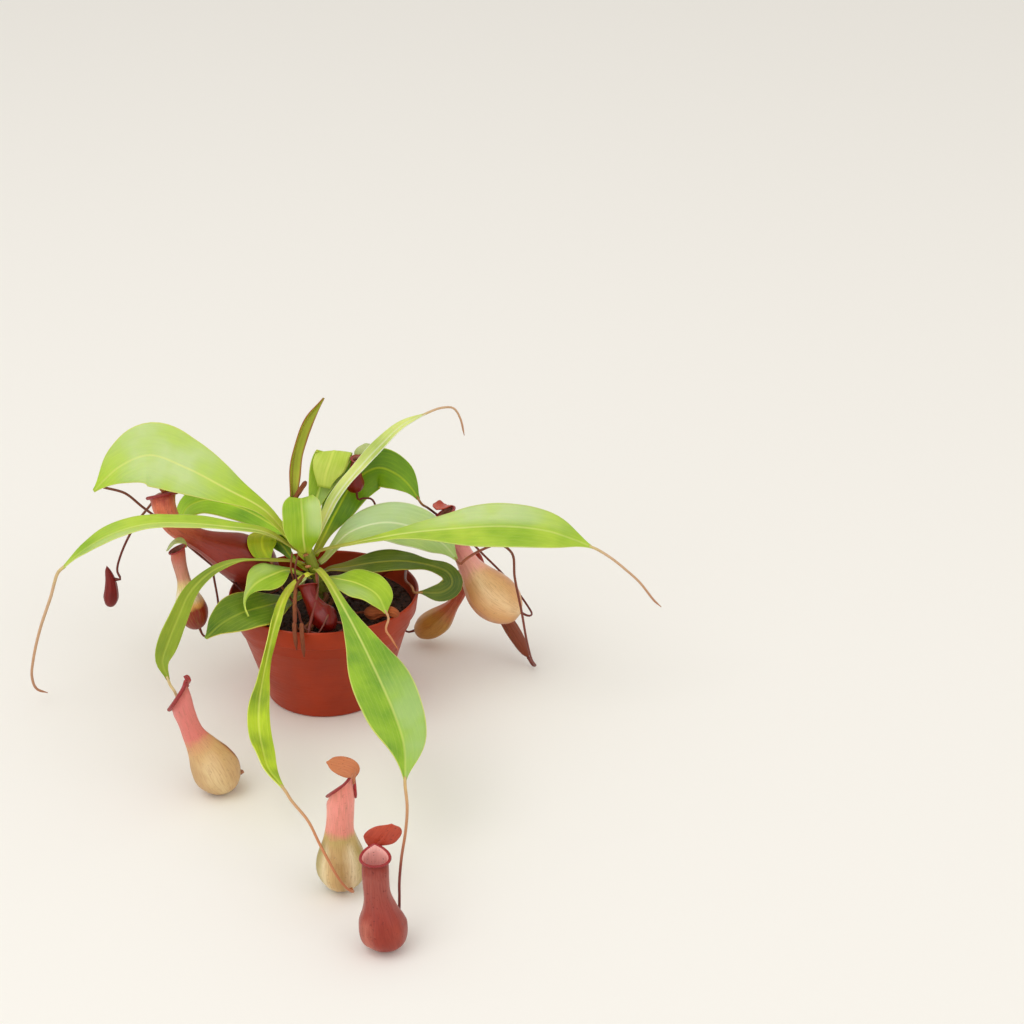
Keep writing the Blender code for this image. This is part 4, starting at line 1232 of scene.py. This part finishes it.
@dataclass
class Pot:
    """The moulded pot: rim band, narrower band, tapered wall and flat base."""

    rim_radius: float = 70.0
    wall_inset: float = 8.0
    height: float = 83.0
    base_radius: float = 44.0
    wall: float = 2.0
    floor: float = 3.0
    band: float = 15.0
    step: float = 10.0
    edge: float = 0.35
    segments: int = 144

    @property
    def step_foot(self) -> float:
        """The height at which the narrower band ends."""
        return self.height - self.band - self.step

    def wall_radius(self, height: float) -> float:
        """The outer radius of the plain tapered wall at a height."""
        return self.base_radius + (self.rim_radius - self.wall_inset - self.base_radius) * height / self.step_foot

    def build(self) -> None:
        """Turn the outline and round its edges."""
        band_foot = self.height - self.band
        step_foot = self.step_foot
        wall_top = self.wall_radius(step_foot)
        inner = self.rim_radius - self.wall
        outline = [
            (0.0, self.floor), (self.wall_radius(self.floor) - self.wall, self.floor),
            (wall_top - self.wall, step_foot), (inner - 4.0, band_foot - 1.0), (inner - 2.0, band_foot + 1.5),
            (inner, self.height - 0.8), (inner + 0.8, self.height), (self.rim_radius - 0.8, self.height),
            (self.rim_radius, self.height - 0.8), (self.rim_radius - 2.0, band_foot + 0.6),
            (self.rim_radius - 3.0, band_foot), (wall_top + 2.6, band_foot - 0.6), (wall_top + 1.4, step_foot + 0.5),
            (wall_top, step_foot), (self.base_radius + 0.6, 1.6), (self.base_radius - 1.0, 0.0), (0.0, 0.0),
        ]
        item = add_piece("pot_shell", turned_mesh(outline, self.segments), [PotFinish().material()], "pot", "pot")
        edge = item.modifiers.new("Edges", "BEVEL")
        edge.width = self.edge * MM
        edge.segments = 2
        edge.limit_method = "ANGLE"
        edge.angle_limit = math.radians(25)


@dataclass
class Soil:
    """The peat: a lumpy bed in the pot, with loose crumbs on it."""

    edge_radius: float = 64.8
    rise: float = 74.0
    middle: float = 71.0
    edge: float = 69.5
    crumbs: int = 420
    seed: int = 11

    HEAP_RADIUS = 10.0
    SHOULDER = 22.0
    FLAT_RADIUS = 54.0
    GAP = 0.3
    DENTS = 0.35

    def top(self, radius: float) -> float:
        """Find the height of the bed, which falls from a heap round the stem to the pot's wall.

        Args:
            radius: The distance from the pot's axis.

        Returns:
            The height in millimetres.
        """
        if radius < self.SHOULDER:
            fall = max(radius - self.HEAP_RADIUS, 0.0) / (self.SHOULDER - self.HEAP_RADIUS)
            return self.rise + (self.middle - self.rise) * fall
        fall = min((radius - self.SHOULDER) / (self.FLAT_RADIUS - self.SHOULDER), 1.0)
        return self.middle + (self.edge - self.middle) * fall

    def build(self) -> None:
        """Build the bed and the crumbs."""
        self.build_bed()
        self.build_crumbs()

    def build_bed(self) -> None:
        """Build the bed, turned and then made uneven."""
        pot = Pot()
        side = pot.wall + 2 * self.GAP
        bottom = pot.floor + self.GAP
        outer = [(self.edge_radius, self.edge), (self.edge_radius - 2.5, 66.8),
                 (pot.wall_radius(pot.step_foot) - side, pot.step_foot), (pot.wall_radius(bottom) - side, bottom),
                 (0.0, bottom)]
        inner = [(radius, self.top(radius)) for radius in [0.0] + [4.0 + 1.45 * k for k in range(42)]]
        bm = turned_mesh(inner + outer, 132)
        for vert in bm.verts:
            spot = vert.co / MM
            radius = math.hypot(spot.x, spot.y)
            if spot.z > self.edge - 0.2 and 1.0 < radius < self.edge_radius - 0.5:
                rough = noise.noise(spot * 0.28) * 1.2 + noise.noise(spot * 0.9) * 0.9
                vert.co.z += rough * MM
        add_piece("soil_bed", bm, [PeatFinish().material()], "soil", "soil")

    def build_crumbs(self) -> None:
        """Strew crumbs of mixed sizes over the bed."""
        dice = random.Random(self.seed)
        noise.seed_set(self.seed)
        bm = bmesh.new()
        for _ in range(self.crumbs):
            radius = 8.0 + 55.0 * math.sqrt(dice.random())
            angle = dice.uniform(0, 2 * math.pi)
            size = dice.uniform(0.5, 1.9) * (1.0 if dice.random() < 0.8 else 1.5)
            spot = Vector((radius * math.cos(angle), radius * math.sin(angle), self.top(radius) + size * 0.2))
            turn = Matrix.Rotation(dice.uniform(0, 6.3), 4, Vector((dice.random(), dice.random(), 1)).normalized())
            stretch = Matrix.Diagonal((dice.uniform(0.7, 1.5), dice.uniform(0.7, 1.2), dice.uniform(0.5, 0.9), 1))
            made = bmesh.ops.create_icosphere(bm, subdivisions=1, radius=size * MM,
                                              matrix=Matrix.Translation(spot * MM) @ turn @ stretch)
            for vert in made["verts"]:
                vert.co += noise.noise_vector(vert.co * 900) * (size * self.DENTS * MM)
        add_piece("soil_crumbs", bm, [PeatFinish().material()], "soil")


LEAVES = (
    Leaf(
        "leaf_01", 24, WEDGE, ((0, 0, 1), (0.2, -0.5, 0.8), (0.1, -0.8, 0.7), (-0.3, -0.8, 0.6), (-0.6, -0.7, 0.2)),
        fold=0.16, finish=LIME_PAINTED_SHEEN, seat=(120, 172),
        route=((-42, 8, 144), (-70, 15, 158), (-100, 22, 172), (-126, 26, 180), (-148, 24, 172), (-168, 20, 154))),
    Leaf(
        "leaf_02", 9, STRAP, ((0, 0, 1), (0, -0.2, 1), (0, -0.1, 1), (-0.3, -0.4, 0.9), (-0.8, -0.4, 0.5)),
        fold=0.25, finish=LIME_PALE, seat=(114, 184), route=((-40, -3, 131), (-68, -6, 137), (-98, -11, 142),
        (-124, -15, 143), (-150, -20, 137), (-172, -22, 124), (-186, -24, 112))),
    Leaf(
        "leaf_03", 7, SLENDER, ((0, 0, 1), (0, 0, 1), (0.3, 0, 1), (0.4, -0.9, 0.4), (0.1, -1, 0.2)), fold=0.2,
        finish=OLIVE_LEAF, seat=(105, 206), slot="leaf_mid", route=((-42, -20, 117), (-58, -40, 125),
        (-73, -65, 128), (-84, -85, 123), (-90, -102, 113), (-96, -116, 100), (-99, -125, 90), (-95, -130, 79))),
    Leaf(
        "leaf_04", 8, RIBBON, ((0, 0, 1), (0.4, -0.2, 0.9), (0.6, -0.3, 0.8), (0.9, -0.3, 0.4), (0.2, -0.6, 0.8),
        (0.7, -0.6, 0.6), (0.5, -0.6, 0.7)), fold=0.24, wave=1.3, beats=3.5, finish=MOSS, seat=(98, 250),
        route=((-20, -21, 97), (-25, -34, 94.5), (-29, -62, 88), (-32, -84, 77), (-34, -108, 67), (-34, -134, 59),
        (-32, -152, 52), (-28, -168, 46), (-23, -185, 43), (-11, -205, 40))),
    Leaf(
        "leaf_05", 20, PADDLE, ((0, 0, 1), (0.1, -0.2, 1), (0.1, -0.4, 1), (0, -0.5, 0.9), (0.5, -0.7, 0.7)),
        fold=0.14, finish=BROAD, seat=(102, 292), route=((6, -28, 104), (20, -62, 99), (35, -100, 92),
        (49, -140, 86), (61, -176, 80), (69, -206, 73), (71, -235, 64))),
    Leaf(
        "leaf_06", 18, PADDLE, ((0, 0, 1), (0, -0.2, 1), (0, -0.5, 0.9), (0.1, -0.6, 0.8), (0.3, -0.5, 0.8)),
        fold=0.12, finish=LIME_PALE, seat=(113, 356), route=((22, -5, 123), (58, -8, 132), (94, -10, 137),
        (130, -12, 140), (163, -15, 138), (184, -18, 132), (197, -20, 127))),
    Leaf(
        "leaf_07", 6, CHANNEL, ((-0.6, -0.4, 0.8), (-0.5, -0.7, 0.6), (-0.4, -0.7, 0.7), (-0.2, -0.6, 0.8)),
        fold=0.45, finish=SAGE, seat=(118, 48),
        route=((9, 20, 148), (26, 34, 166), (42, 46, 180), (58, 59, 191), (74, 68, 196))),
    Leaf(
        "leaf_08", 5.2, STRAP, ((0.5, -1, 0), (0.6, -0.8, 0), (0.7, -0.7, 0.1), (0.7, -0.5, 0.5)), fold=0.8,
        finish=OCHRE_LEAF, top=(-16, 2, 123.2),
        route=((-21, 10, 145), (-22, 20, 166), (-19, 28, 186), (-12, 33, 203), (2, 36, 221))),
    Leaf(
        "leaf_09", 13.5, LOBE, ((0, -1, 0.6), (0, -1, 0.5), (0, -1, 0.5), (0, -1, 0.4), (0, -1, 0.3), (0, -1, 0.1),
        (0, -0.3, -1), (0, 0.8, -0.6), (0, 0.85, -0.5)), fold=0.08, finish=MEADOW, seat=(115, 100), slot="leaf_mid",
        route=((-9, 32, 132), (-4, 46, 148), (2, 56, 161), (6, 58, 169), (6, 53, 172), (4, 47, 167), (1, 42, 159),
        (-1, 38, 149))),
    Leaf(
        "leaf_10", 16, SPOON, ((0, -1, 0.8), (0, -1, 0.6), (0, -1, 0.5), (0.3, -1, 0.4), (0.5, -1, 0.4)), fold=0.1,
        finish=MEADOW_DEEP, seat=(109, 62), slot="leaf_mid",
        route=((8, 42, 129), (21, 58, 146), (38, 62, 155), (52, 59, 151), (62, 53, 144), (69, 46, 136))),
    Leaf(
        "leaf_11", 17, SPOON, ((0, -0.2, 1), (0, -0.4, 1), (0.2, -0.6, 0.9), (0.6, -0.8, 0.6), (0.8, -0.7, 0.2)),
        fold=0.08, finish=SAGE_DEEP, seat=(104, 28), slot="leaf_mid",
        route=((18, 15, 122), (44, 19, 129), (68, 20, 124), (88, 16, 113), (98, 12, 102))),
    Leaf(
        "leaf_12", 11, HOOKED, ((0, 0, 1), (0, -0.2, 1), (0, -0.3, 1), (0, -0.4, 1), (0.3, -0.5, 0.8),
        (0.7, -0.8, 0.4), (0.2, -0.95, 0.2), (0.1, -0.9, 0.4)), fold=0.1, finish=BOTTLE, seat=(97, 6),
        slot="leaf_dark", route=((16, 1, 101), (36, 0, 105), (58, -1, 107), (79, -2, 104), (92, -4, 99),
        (95, -8, 92), (88, -11, 87), (71, -12, 87))),
    Leaf(
        "leaf_14", 14.5, SPOON, ((0, 0, 1), (0.1, -0.4, 1), (0.3, -0.5, 0.9), (0.5, -0.6, 0.5)), fold=0.1,
        finish=MEADOW, seat=(93, 324), slot="leaf_mid",
        route=((14, -15, 99), (28, -26, 100.5), (42, -38, 97.5), (49, -49, 88.5))),
    Leaf(
        "leaf_15", 12, THREAD, ((0, 0, 1), (0, -0.7, 0.9), (-0.1, -0.8, 0.8), (-0.2, -1, 0.4), (-0.2, -1, 0)),
        fold=0.1, finish=MEADOW, seat=(94, 208), slot="leaf_mid", route=((-23, -9, 103.5), (-33, -26, 108.5),
        (-45, -42, 108), (-51, -50, 101.5), (-51, -56, 97), (-48, -61, 92))),
    Leaf(
        "leaf_16", 19, OVAL, ((0, 0, 1), (-0.1, -0.5, 1), (-0.1, -0.6, 0.9), (-0.2, -0.7, 0.7)), fold=0.06,
        finish=BOTTLE_LIGHT, seat=(84, 236), slot="leaf_dark",
        route=((-24, -22, 86), (-38, -38, 89), (-54, -56, 92), (-67, -70, 90), (-76, -81, 85))),
    Leaf(
        "leaf_17", 14, BROAD_END, ((0, -1, 0.2), (0, -1, 0.3), (0, -1, 0.6), (0, -0.4, 1)), fold=0.3, finish=LIME,
        seat=(116, 270), route=((-12, -13, 132), (-12, -11, 144), (-13, -6, 153), (-14, 2, 156))),
    Leaf(
        "leaf_18", 11, PADDLE, ((0, 0, 1), (0, -0.5, 0.8), (-0.1, -0.9, 0.3), (-0.1, -0.95, 0.2), (0, -0.8, -0.5),
        (0, -0.1, -1), (0, 0.6, -0.8), (0, 0.9, -0.4), (0, 0.9, -0.3)), fold=0.05, finish=MEADOW_DEEP,
        seat=(98, 168), slot="leaf_mid", route=((-24, 7, 107), (-31, 10, 115.5), (-38, 10, 121.5), (-43, 6, 124),
        (-44, 1, 122), (-43, -2, 117.5), (-40, -6, 113.5), (-37, -9, 110.5))),
    Leaf(
        "leaf_19", 13, SPOON, ((0, -0.2, 1), (0, -0.4, 1), (-0.2, -0.4, 1), (-0.8, -0.5, 0.5), (-0.7, -0.7, -0.2)),
        fold=0.08, finish=OLIVE_GREEN, seat=(107, 144), slot="leaf_mid", route=((-20, 17, 113), (-38, 28, 122),
        (-64, 39, 132), (-90, 45, 136), (-106, 45, 128), (-108, 41, 115), (-97, 36, 104))),
    Leaf(
        "leaf_20", 15, PADDLE, ((0, 0, 1), (0, 0, 1), (-0.1, -0.1, 1), (-0.4, -0.2, 0.9)), fold=0.12, finish=BOTTLE,
        seat=(99, 124), slot="leaf_dark",
        route=((-28, 34, 110), (-58, 60, 120), (-90, 78, 128), (-114, 84, 130), (-131, 84, 124))),
)

PITCHERS = (
    Pitcher(
        "pitcher_01", TAPERED_PITCHER, 16.5, 19, (-0.95, 0.28, 0), ((-56, -146, 1.4), (-58.5, -146, 7),
        (-64, -145.5, 18), (-71, -145, 32), (-78, -145, 46), (-82, -146, 61), (-85, -148, 76)), APRICOT_SKIN,
        "pitcher_tan", inside=PALE_INSIDE, cover=RED_LIP, peak=3.0, narrow=0.1, lip=1.6, wing=0.3,
        lid=((0.4, 0, 4.5), (-2, -0.5, 7)), lid_half=3.2, lid_up=(0.5, 0, 0.9)),
    Pitcher(
        "pitcher_02", FULL_PITCHER, 15.6, 15.5, (-0.86, 0.56, 0), ((32, -261, 0.6), (31.5, -261, 8), (31, -261, 16),
        (31, -261, 30), (31, -262, 44), (32, -262, 60), (32.5, -262, 75)), OCHRE_SKIN, "pitcher_tan",
        inside=PALE_INSIDE, cover=AMBER_LID, peak=4.5, lip=1.0, ribs=0.45, narrow=0.19,
        lid=((0, -1, 8.5), (-16, -2, 15.5)), lid_half=6.2, lid_up=(0.2, -0.6, 0.8)),
    Pitcher(
        "pitcher_03", FULL_PITCHER, 14.8, 4.5, (0.1, -1, 0), ((64, -323, 0.5), (63, -323, 8), (60.5, -322.5, 16),
        (59, -321, 28), (57.5, -320, 39), (57, -318, 49), (57, -316, 58)), MAROON_SKIN, "pitcher_red",
        inside=ROSE_INSIDE, peak=4.5, peak_spread=0.9, narrow=0.06, flat=0.38, lip=0.95,
        lid=((4, 1, 8), (10.5, 2, 17.5)), lid_half=9.5, lid_skew=-0.5, lid_up=(-0.2, 0.95, -0.1)),
    Pitcher(
        "pitcher_04", SLIM_PITCHER, 18, 6, (-0.4, -0.9, 0),
        ((146, 20, 54), (139, 21, 57), (125, 24, 66), (113, 29, 79), (103, 35, 94), (94, 41, 109), (87, 46, 122)),
        SAND_SKIN, "pitcher_tan", lip=1.1, lid=((-2, -2.5, 4), (-8, -12, 4.5)), lid_half=7.5, lid_up=(0.1, 0.2, 1)),
    Pitcher(
        "pitcher_05", SLIM_PITCHER, 11, 3, (0, -1, 0),
        ((62, 76, 10), (68, 75, 12), (78, 73, 18), (88, 71, 29), (96, 69, 41), (101, 68, 53), (103, 68, 62)),
        OLIVE_SKIN, "pitcher_tan", sides=10, lip=0.8, lid=((0, 1, 6), (0, -4, 10)), lid_half=4.5,
        lid_up=(0, 0.5, 0.9)),
    Pitcher(
        "pitcher_06", CLOSED_PITCHER, 5.5, 0, (0, -1, 0),
        ((152, 36, 6.5), (147, 41, 14), (139, 47, 26), (129, 53, 41), (122, 58, 55), (116, 61, 70), (112, 63, 86)),
        UMBER_SKIN, "pitcher_tan", sides=8),
    Pitcher(
        "pitcher_07", SLIM_PITCHER, 11, 4, (-1, 0, 0), ((-92, -11, 57), (-94, -11, 63), (-96, -11, 70),
        (-99, -11, 82), (-101, -11, 97), (-103, -11, 110), (-104, -11, 121)), GREEN_SKIN, "pitcher_tan",
        cover=GREEN_LID, sides=10, lip=0.7, lid=((-5, 0, 4), (-14, 0, -4)), lid_half=5, lid_up=(-0.8, 0, 0.6)),
    Pitcher(
        "pitcher_08", SLIM_PITCHER, 18, 4, (0, -1, 0), ((-36, 17, 88), (-43, 15, 92), (-53, 13, 99), (-73, 9, 111),
        (-95, 9, 122), (-109, 11, 130), (-116, 15, 142), (-118, 20, 150)), CRIMSON_SKIN, "pitcher_red",
        cover=AMBER_LID, lid=((-0.5, 0.5, 5.5), (0, -4, 10)), lid_half=5, lid_up=(0, 0.6, 0.8)),
    Pitcher(
        "pitcher_09", SHORT_PITCHER, 9.5, 2, (0.6, -0.6, 0.6),
        ((14, -51, 82), (9, -50, 82.5), (4, -46, 84), (-2, -39, 88), (-7, -32, 94), (-9, -27, 99.5)), WINE_SKIN,
        "pitcher_red", cover=GREEN_LID, sides=10, lip=0.35, lid=((1, 1, 4), (3, 3, 7)), lid_half=3.5,
        lid_up=(-0.5, 0, 0.9)),
    Pitcher(
        "pitcher_10", SHORT_PITCHER, 8.5, 2, (0.4, -0.7, 0.5),
        ((19, -5, 81), (25, 1, 83), (32, 8, 86), (39, 15, 90), (45, 20, 94)), RUST_SKIN, "pitcher_red", sides=10,
        lip=0.6, lid=((1, 2, 4), (4, 1, 7)), lid_half=4, lid_up=(-0.5, 0.2, 0.8)),
    Pitcher(
        "pitcher_11", CLOSED_PITCHER, 5.5, 0, (1, -1, 0),
        ((32, -27, 78), (38, -31, 80), (45, -36, 84), (52, -42, 86.5), (58, -46, 85)), WITHERED_SKIN, "dry",
        sides=8),
    Pitcher(
        "pitcher_12", SHORT_PITCHER, 7, 2, (-0.7, -0.7, 0),
        ((23, 43, 143), (22, 43, 149), (22, 43, 156), (23, 44, 163), (25, 44, 169)), WINE_SKIN, "pitcher_red",
        cover=GREEN_LID, sides=10, lip=0.7, lid=((1, 3, 5), (1, 8, 8)), lid_half=10, lid_up=(0.2, 0.2, -1)),
    Pitcher(
        "pitcher_13", BUD, 5.4, 0, (-1, 0, 0),
        ((-170, 44, 47), (-168, 44, 54), (-167, 44, 62), (-167, 44, 71), (-169, 44, 82)), WINE_SKIN, "pitcher_red",
        sides=8),
)

TENDRILS = (
    Tendril(
        "tendril_01", 1.1, RED_CORD, "tendril_red", ((-174, 28, 150), (-166, 38, 150), (-149, 37, 145),
        (-136, 34, 135), (-123, 30, 126), (-104, 25, 109), (-86, 18, 96), (-69, 9, 86), (-58, 4, 78), (-44, 8, 75),
        (-34, 14, 78)), leaf="leaf_01", pitcher="pitcher_08", is_tucked=True),
    Tendril(
        "tendril_02", 1.3, TAN_CORD, "tendril_tan",
        ((-196, -26, 90), (-206, -28, 64), (-213, -28, 40), (-216, -26, 24), (-214, -24, 13), (-207, -21, 8)),
        leaf="leaf_02"),
    Tendril(
        "tendril_03", 1.1, TAN_CORD, "tendril_tan", ((-90, -136, 73), (-87, -136, 60), (-85, -133, 46),
        (-81, -127, 30), (-76, -123, 18), (-68, -123, 12), (-58, -129, 9)), leaf="leaf_03", pitcher="pitcher_01",
        spot=(2, 7), hug=1.6),
    Tendril(
        "tendril_04", 1.1, AMBER_CORD, "tendril_tan",
        ((-4, -219, 39), (9, -243, 39), (19, -269, 38), (25, -277, 31), (31, -282, 22), (36, -280, 13)),
        leaf="leaf_04", pitcher="pitcher_02", spot=(2, 5)),
    Tendril(
        "tendril_05", 1.1, DUSK_CORD, "tendril_tan",
        ((73, -252, 56), (73, -272, 51), (71, -290, 42), (70, -300, 31), (70, -303, 22)), leaf="leaf_05",
        pitcher="pitcher_03", spot=(3, 5)),
    Tendril(
        "tendril_06", 1.1, TAN_CORD, "tendril_tan",
        ((211, -24, 120), (221, -28, 113), (231, -30, 104), (242, -32, 90), (247, -34, 86)), leaf="leaf_06"),
    Tendril(
        "tendril_07", 1, TAN_CORD, "tendril_tan", ((86, 73, 199), (95, 75, 198), (100, 75, 190), (103, 75, 176)),
        leaf="leaf_07"),
    Tendril(
        "tendril_10", 1, RED_CORD, "tendril_red", ((76, 52, 126), (88, 60, 112), (104, 60, 98), (118, 53, 86),
        (131, 46, 75), (142, 39, 64), (151, 31, 54), (154, 24, 51)), leaf="leaf_10", pitcher="pitcher_04"),
    Tendril(
        "tendril_11", 1.1, BLUSH_CORD, "tendril_red", ((105, 9, 104), (117, 4, 114), (130, 2, 119), (139, 2, 112),
        (141, 3, 92), (146, 4, 64), (150, 10, 36), (154, 20, 14), (157, 29, 4)), leaf="leaf_11",
        pitcher="pitcher_06"),
    Tendril(
        "tendril_12", 1, RED_CORD, "tendril_red", ((66, -12, 91), (61, -4, 92), (60, 10, 92), (61, 32, 92),
        (61, 50, 86), (57, 66, 60), (53, 75, 30), (52, 78, 14)), leaf="leaf_12", pitcher="pitcher_05"),
    Tendril(
        "tendril_14", 1, AMBER_CORD, "tendril_tan", ((49, -58, 80), (53, -62, 75), (58, -66, 68)), leaf="leaf_14"),
    Tendril(
        "tendril_18", 1, RED_CORD, "tendril_red", ((-34, -14, 103), (-28, -21, 95), (-21, -29, 90), (-15, -38, 84),
        (-12, -50, 82), (-5, -61, 80), (9, -63, 79), (18, -59, 80)), leaf="leaf_18", pitcher="pitcher_09"),
    Tendril(
        "tendril_19", 1, RED_CORD, "tendril_red",
        ((-88, 30, 95), (-84, 20, 82), (-80, 6, 64), (-82, -4, 53), (-88, -9, 49)), leaf="leaf_19",
        pitcher="pitcher_07"),
    Tendril(
        "tendril_20", 1.1, RED_CORD, "tendril_red",
        ((-138, 80, 118), (-149, 68, 106), (-159, 54, 88), (-162, 47, 76)), leaf="leaf_20", pitcher="pitcher_13",
        spot=(4, 4)),
    Tendril("stalk_10", 1, RED_CORD, "tendril_red", ((11, -8.6, 80.6),), seat=(82, 322), pitcher="pitcher_10"),
    Tendril(
        "stalk_11", 1, DRY_CORD, "dry", ((10, -14, 86), (18, -22, 79), (26, -26, 77)), seat=(90, 325),
        pitcher="pitcher_11"),
    Tendril(
        "stalk_12", 1, RED_CORD, "tendril_red",
        ((6, 24, 104), (26, 38, 114), (37, 42, 128), (34, 44, 137), (27, 43, 138)), seat=(102, 46),
        pitcher="pitcher_12"),
    Tendril(
        "dry_stem_1", 1.2, DRY_CORD, "dry", ((1, -14, 80), (-3, -30, 77), (-10, -48, 76), (-14, -59, 80),
        (-15, -67, 89), (-14, -75, 85), (-13, -77, 74)), seat=(82, 292), stout=1.6),
    Tendril(
        "dry_stem_2", 1.2, DRY_CORD, "dry", ((4, -16, 77), (-1, -32, 75.5), (-7, -50, 75), (-10, -60, 79),
        (-10, -67, 88.5), (-9, -75, 84), (-8, -77, 68)), seat=(78, 306), stout=1.6),
)

TWIGS = (
    Twig(
        "dry_sheath", 1.5, DRY_CORD, "dry",
        ((-13, -10, 100), (-17, -24, 98), (-17, -42, 93.5), (-15.5, -58, 91), (-14.5, -67, 89.5))),
    Twig("dry_stub_back", 1.9, DRY_CORD, "dry", ((-22, 11, 148), (-17, 12, 156), (-11, 12, 165))),
    Twig("dry_line_left", 0.7, DRY_CORD, "dry", ((-21, -9, 118), (-22, -14, 108), (-20, -16, 98))),
    Twig("dry_line_left_low", 0.7, RED_CORD, "dry", ((-17, -10, 116), (-19, -15, 106), (-17, -18, 97))),
    Twig(
        "red_stalk_front", 1.2, BLUSH_CORD, "dry",
        ((-4, -8, 101), (-2, -26, 98), (-2, -42, 93), (-5, -58, 84), (-6, -64, 79))),
    Twig("red_stalk_side", 0.7, RED_CORD, "dry", ((8, -54, 90), (4, -60, 83), (0, -64, 78))),
    Twig("old_scar_high", 1.1, AMBER_CORD, "dry", ((-13, -5, 113), (-11.5, -7, 115), (-9.5, -8, 116))),
    Twig(
        "rim_fold", 1.0, RED_LIP, "pitcher_tan", ((41.0, -262, 84.5), (41.6, -262.5, 76), (41.9, -262.8, 68.5)),
        node="pitcher_02"),
    Twig("old_scar_low", 1.1, AMBER_CORD, "dry", ((-12, -6.5, 105), (-10, -8, 106), (-8, -8.5, 106.5))),
)


@dataclass
class Studio:
    """The floor, the soft light and the camera."""

    floor_shade: str = "#f6f3ed"
    sky_shade: str = "#fdfbf7"
    sky_strength: float = 0.81
    lamp_side: float = 2400
    lens: float = 70.0
    sensor: float = 36.0
    camera_place: Point = (139.0, -1321.6, 734.5)
    camera_pitch: float = 66.0
    target: Point = (0, -80, 60)

    def build(self) -> None:
        """Set up the studio."""
        self.build_floor()
        self.add_lamp("key", (-1500, -1100, 3200), 28.0)
        self.add_lamp("front", (-1400, -2600, 1100), 9.0)
        self.add_lamp("fill", (2200, -1800, 2200), 10.0)
        world = bpy.data.worlds.new("studio")
        bpy.context.scene.world = world
        world.use_nodes = True
        feed(world.node_tree.nodes["Background"], {0: self.sky_shade, 1: self.sky_strength})
        data = bpy.data.cameras.new("camera")
        data.lens = self.lens
        data.sensor_width = self.sensor
        data.clip_start = 0.01
        item = self.link("camera", data)
        item.location = Vector(self.camera_place) * MM
        item.rotation_euler = (math.radians(self.camera_pitch), 0, 0)
        bpy.context.scene.camera = item
        bpy.context.scene.view_settings.view_transform = "Standard"

    @staticmethod
    def link(name: str, data: bpy.types.ID) -> bpy.types.Object:
        """Put an object with its data into the scene."""
        item = bpy.data.objects.new(name, data)
        bpy.context.scene.collection.objects.link(item)
        return item

    def build_floor(self) -> None:
        """Build the plain pale floor."""
        bm = bmesh.new()
        bmesh.ops.create_grid(bm, x_segments=2, y_segments=2, size=6.0)
        mesh = bpy.data.meshes.new("floor")
        bm.to_mesh(mesh)
        bm.free()
        paper = Surface("studio_paper_matt")
        feed(paper.shader, {"Base Color": self.floor_shade, "Roughness": 0.9})
        mesh.materials.append(paper.item)
        self.link("floor", mesh)

    def add_lamp(self, name: str, place: Point, power: float) -> None:
        """Hang a large square lamp that looks at the plant.

        Args:
            name: The lamp's name.
            place: Where it hangs, in millimetres.
            power: Its power in watts.
        """
        data = bpy.data.lights.new(name, "AREA")
        data.energy = power
        data.size = self.lamp_side * MM
        item = self.link(name, data)
        item.location = Vector(place) * MM
        item.rotation_euler = (Vector(self.target) * MM - item.location).to_track_quat("-Z", "Y").to_euler()


def main() -> None:
    """Build the object and the studio."""
    logging.basicConfig(level=logging.INFO, format="%(name)s: %(message)s")
    leaves = {leaf.name: leaf for leaf in LEAVES}
    pitchers = {pitcher.name: pitcher for pitcher in PITCHERS}
    for piece in (Pot(), Soil(), STEM, *LEAVES, *PITCHERS):
        piece.build()
    for tendril in TENDRILS:
        tendril.build(leaves, pitchers)
    for twig in TWIGS:
        twig.build()
    Studio().build()


if __name__ == "__main__":
    main()
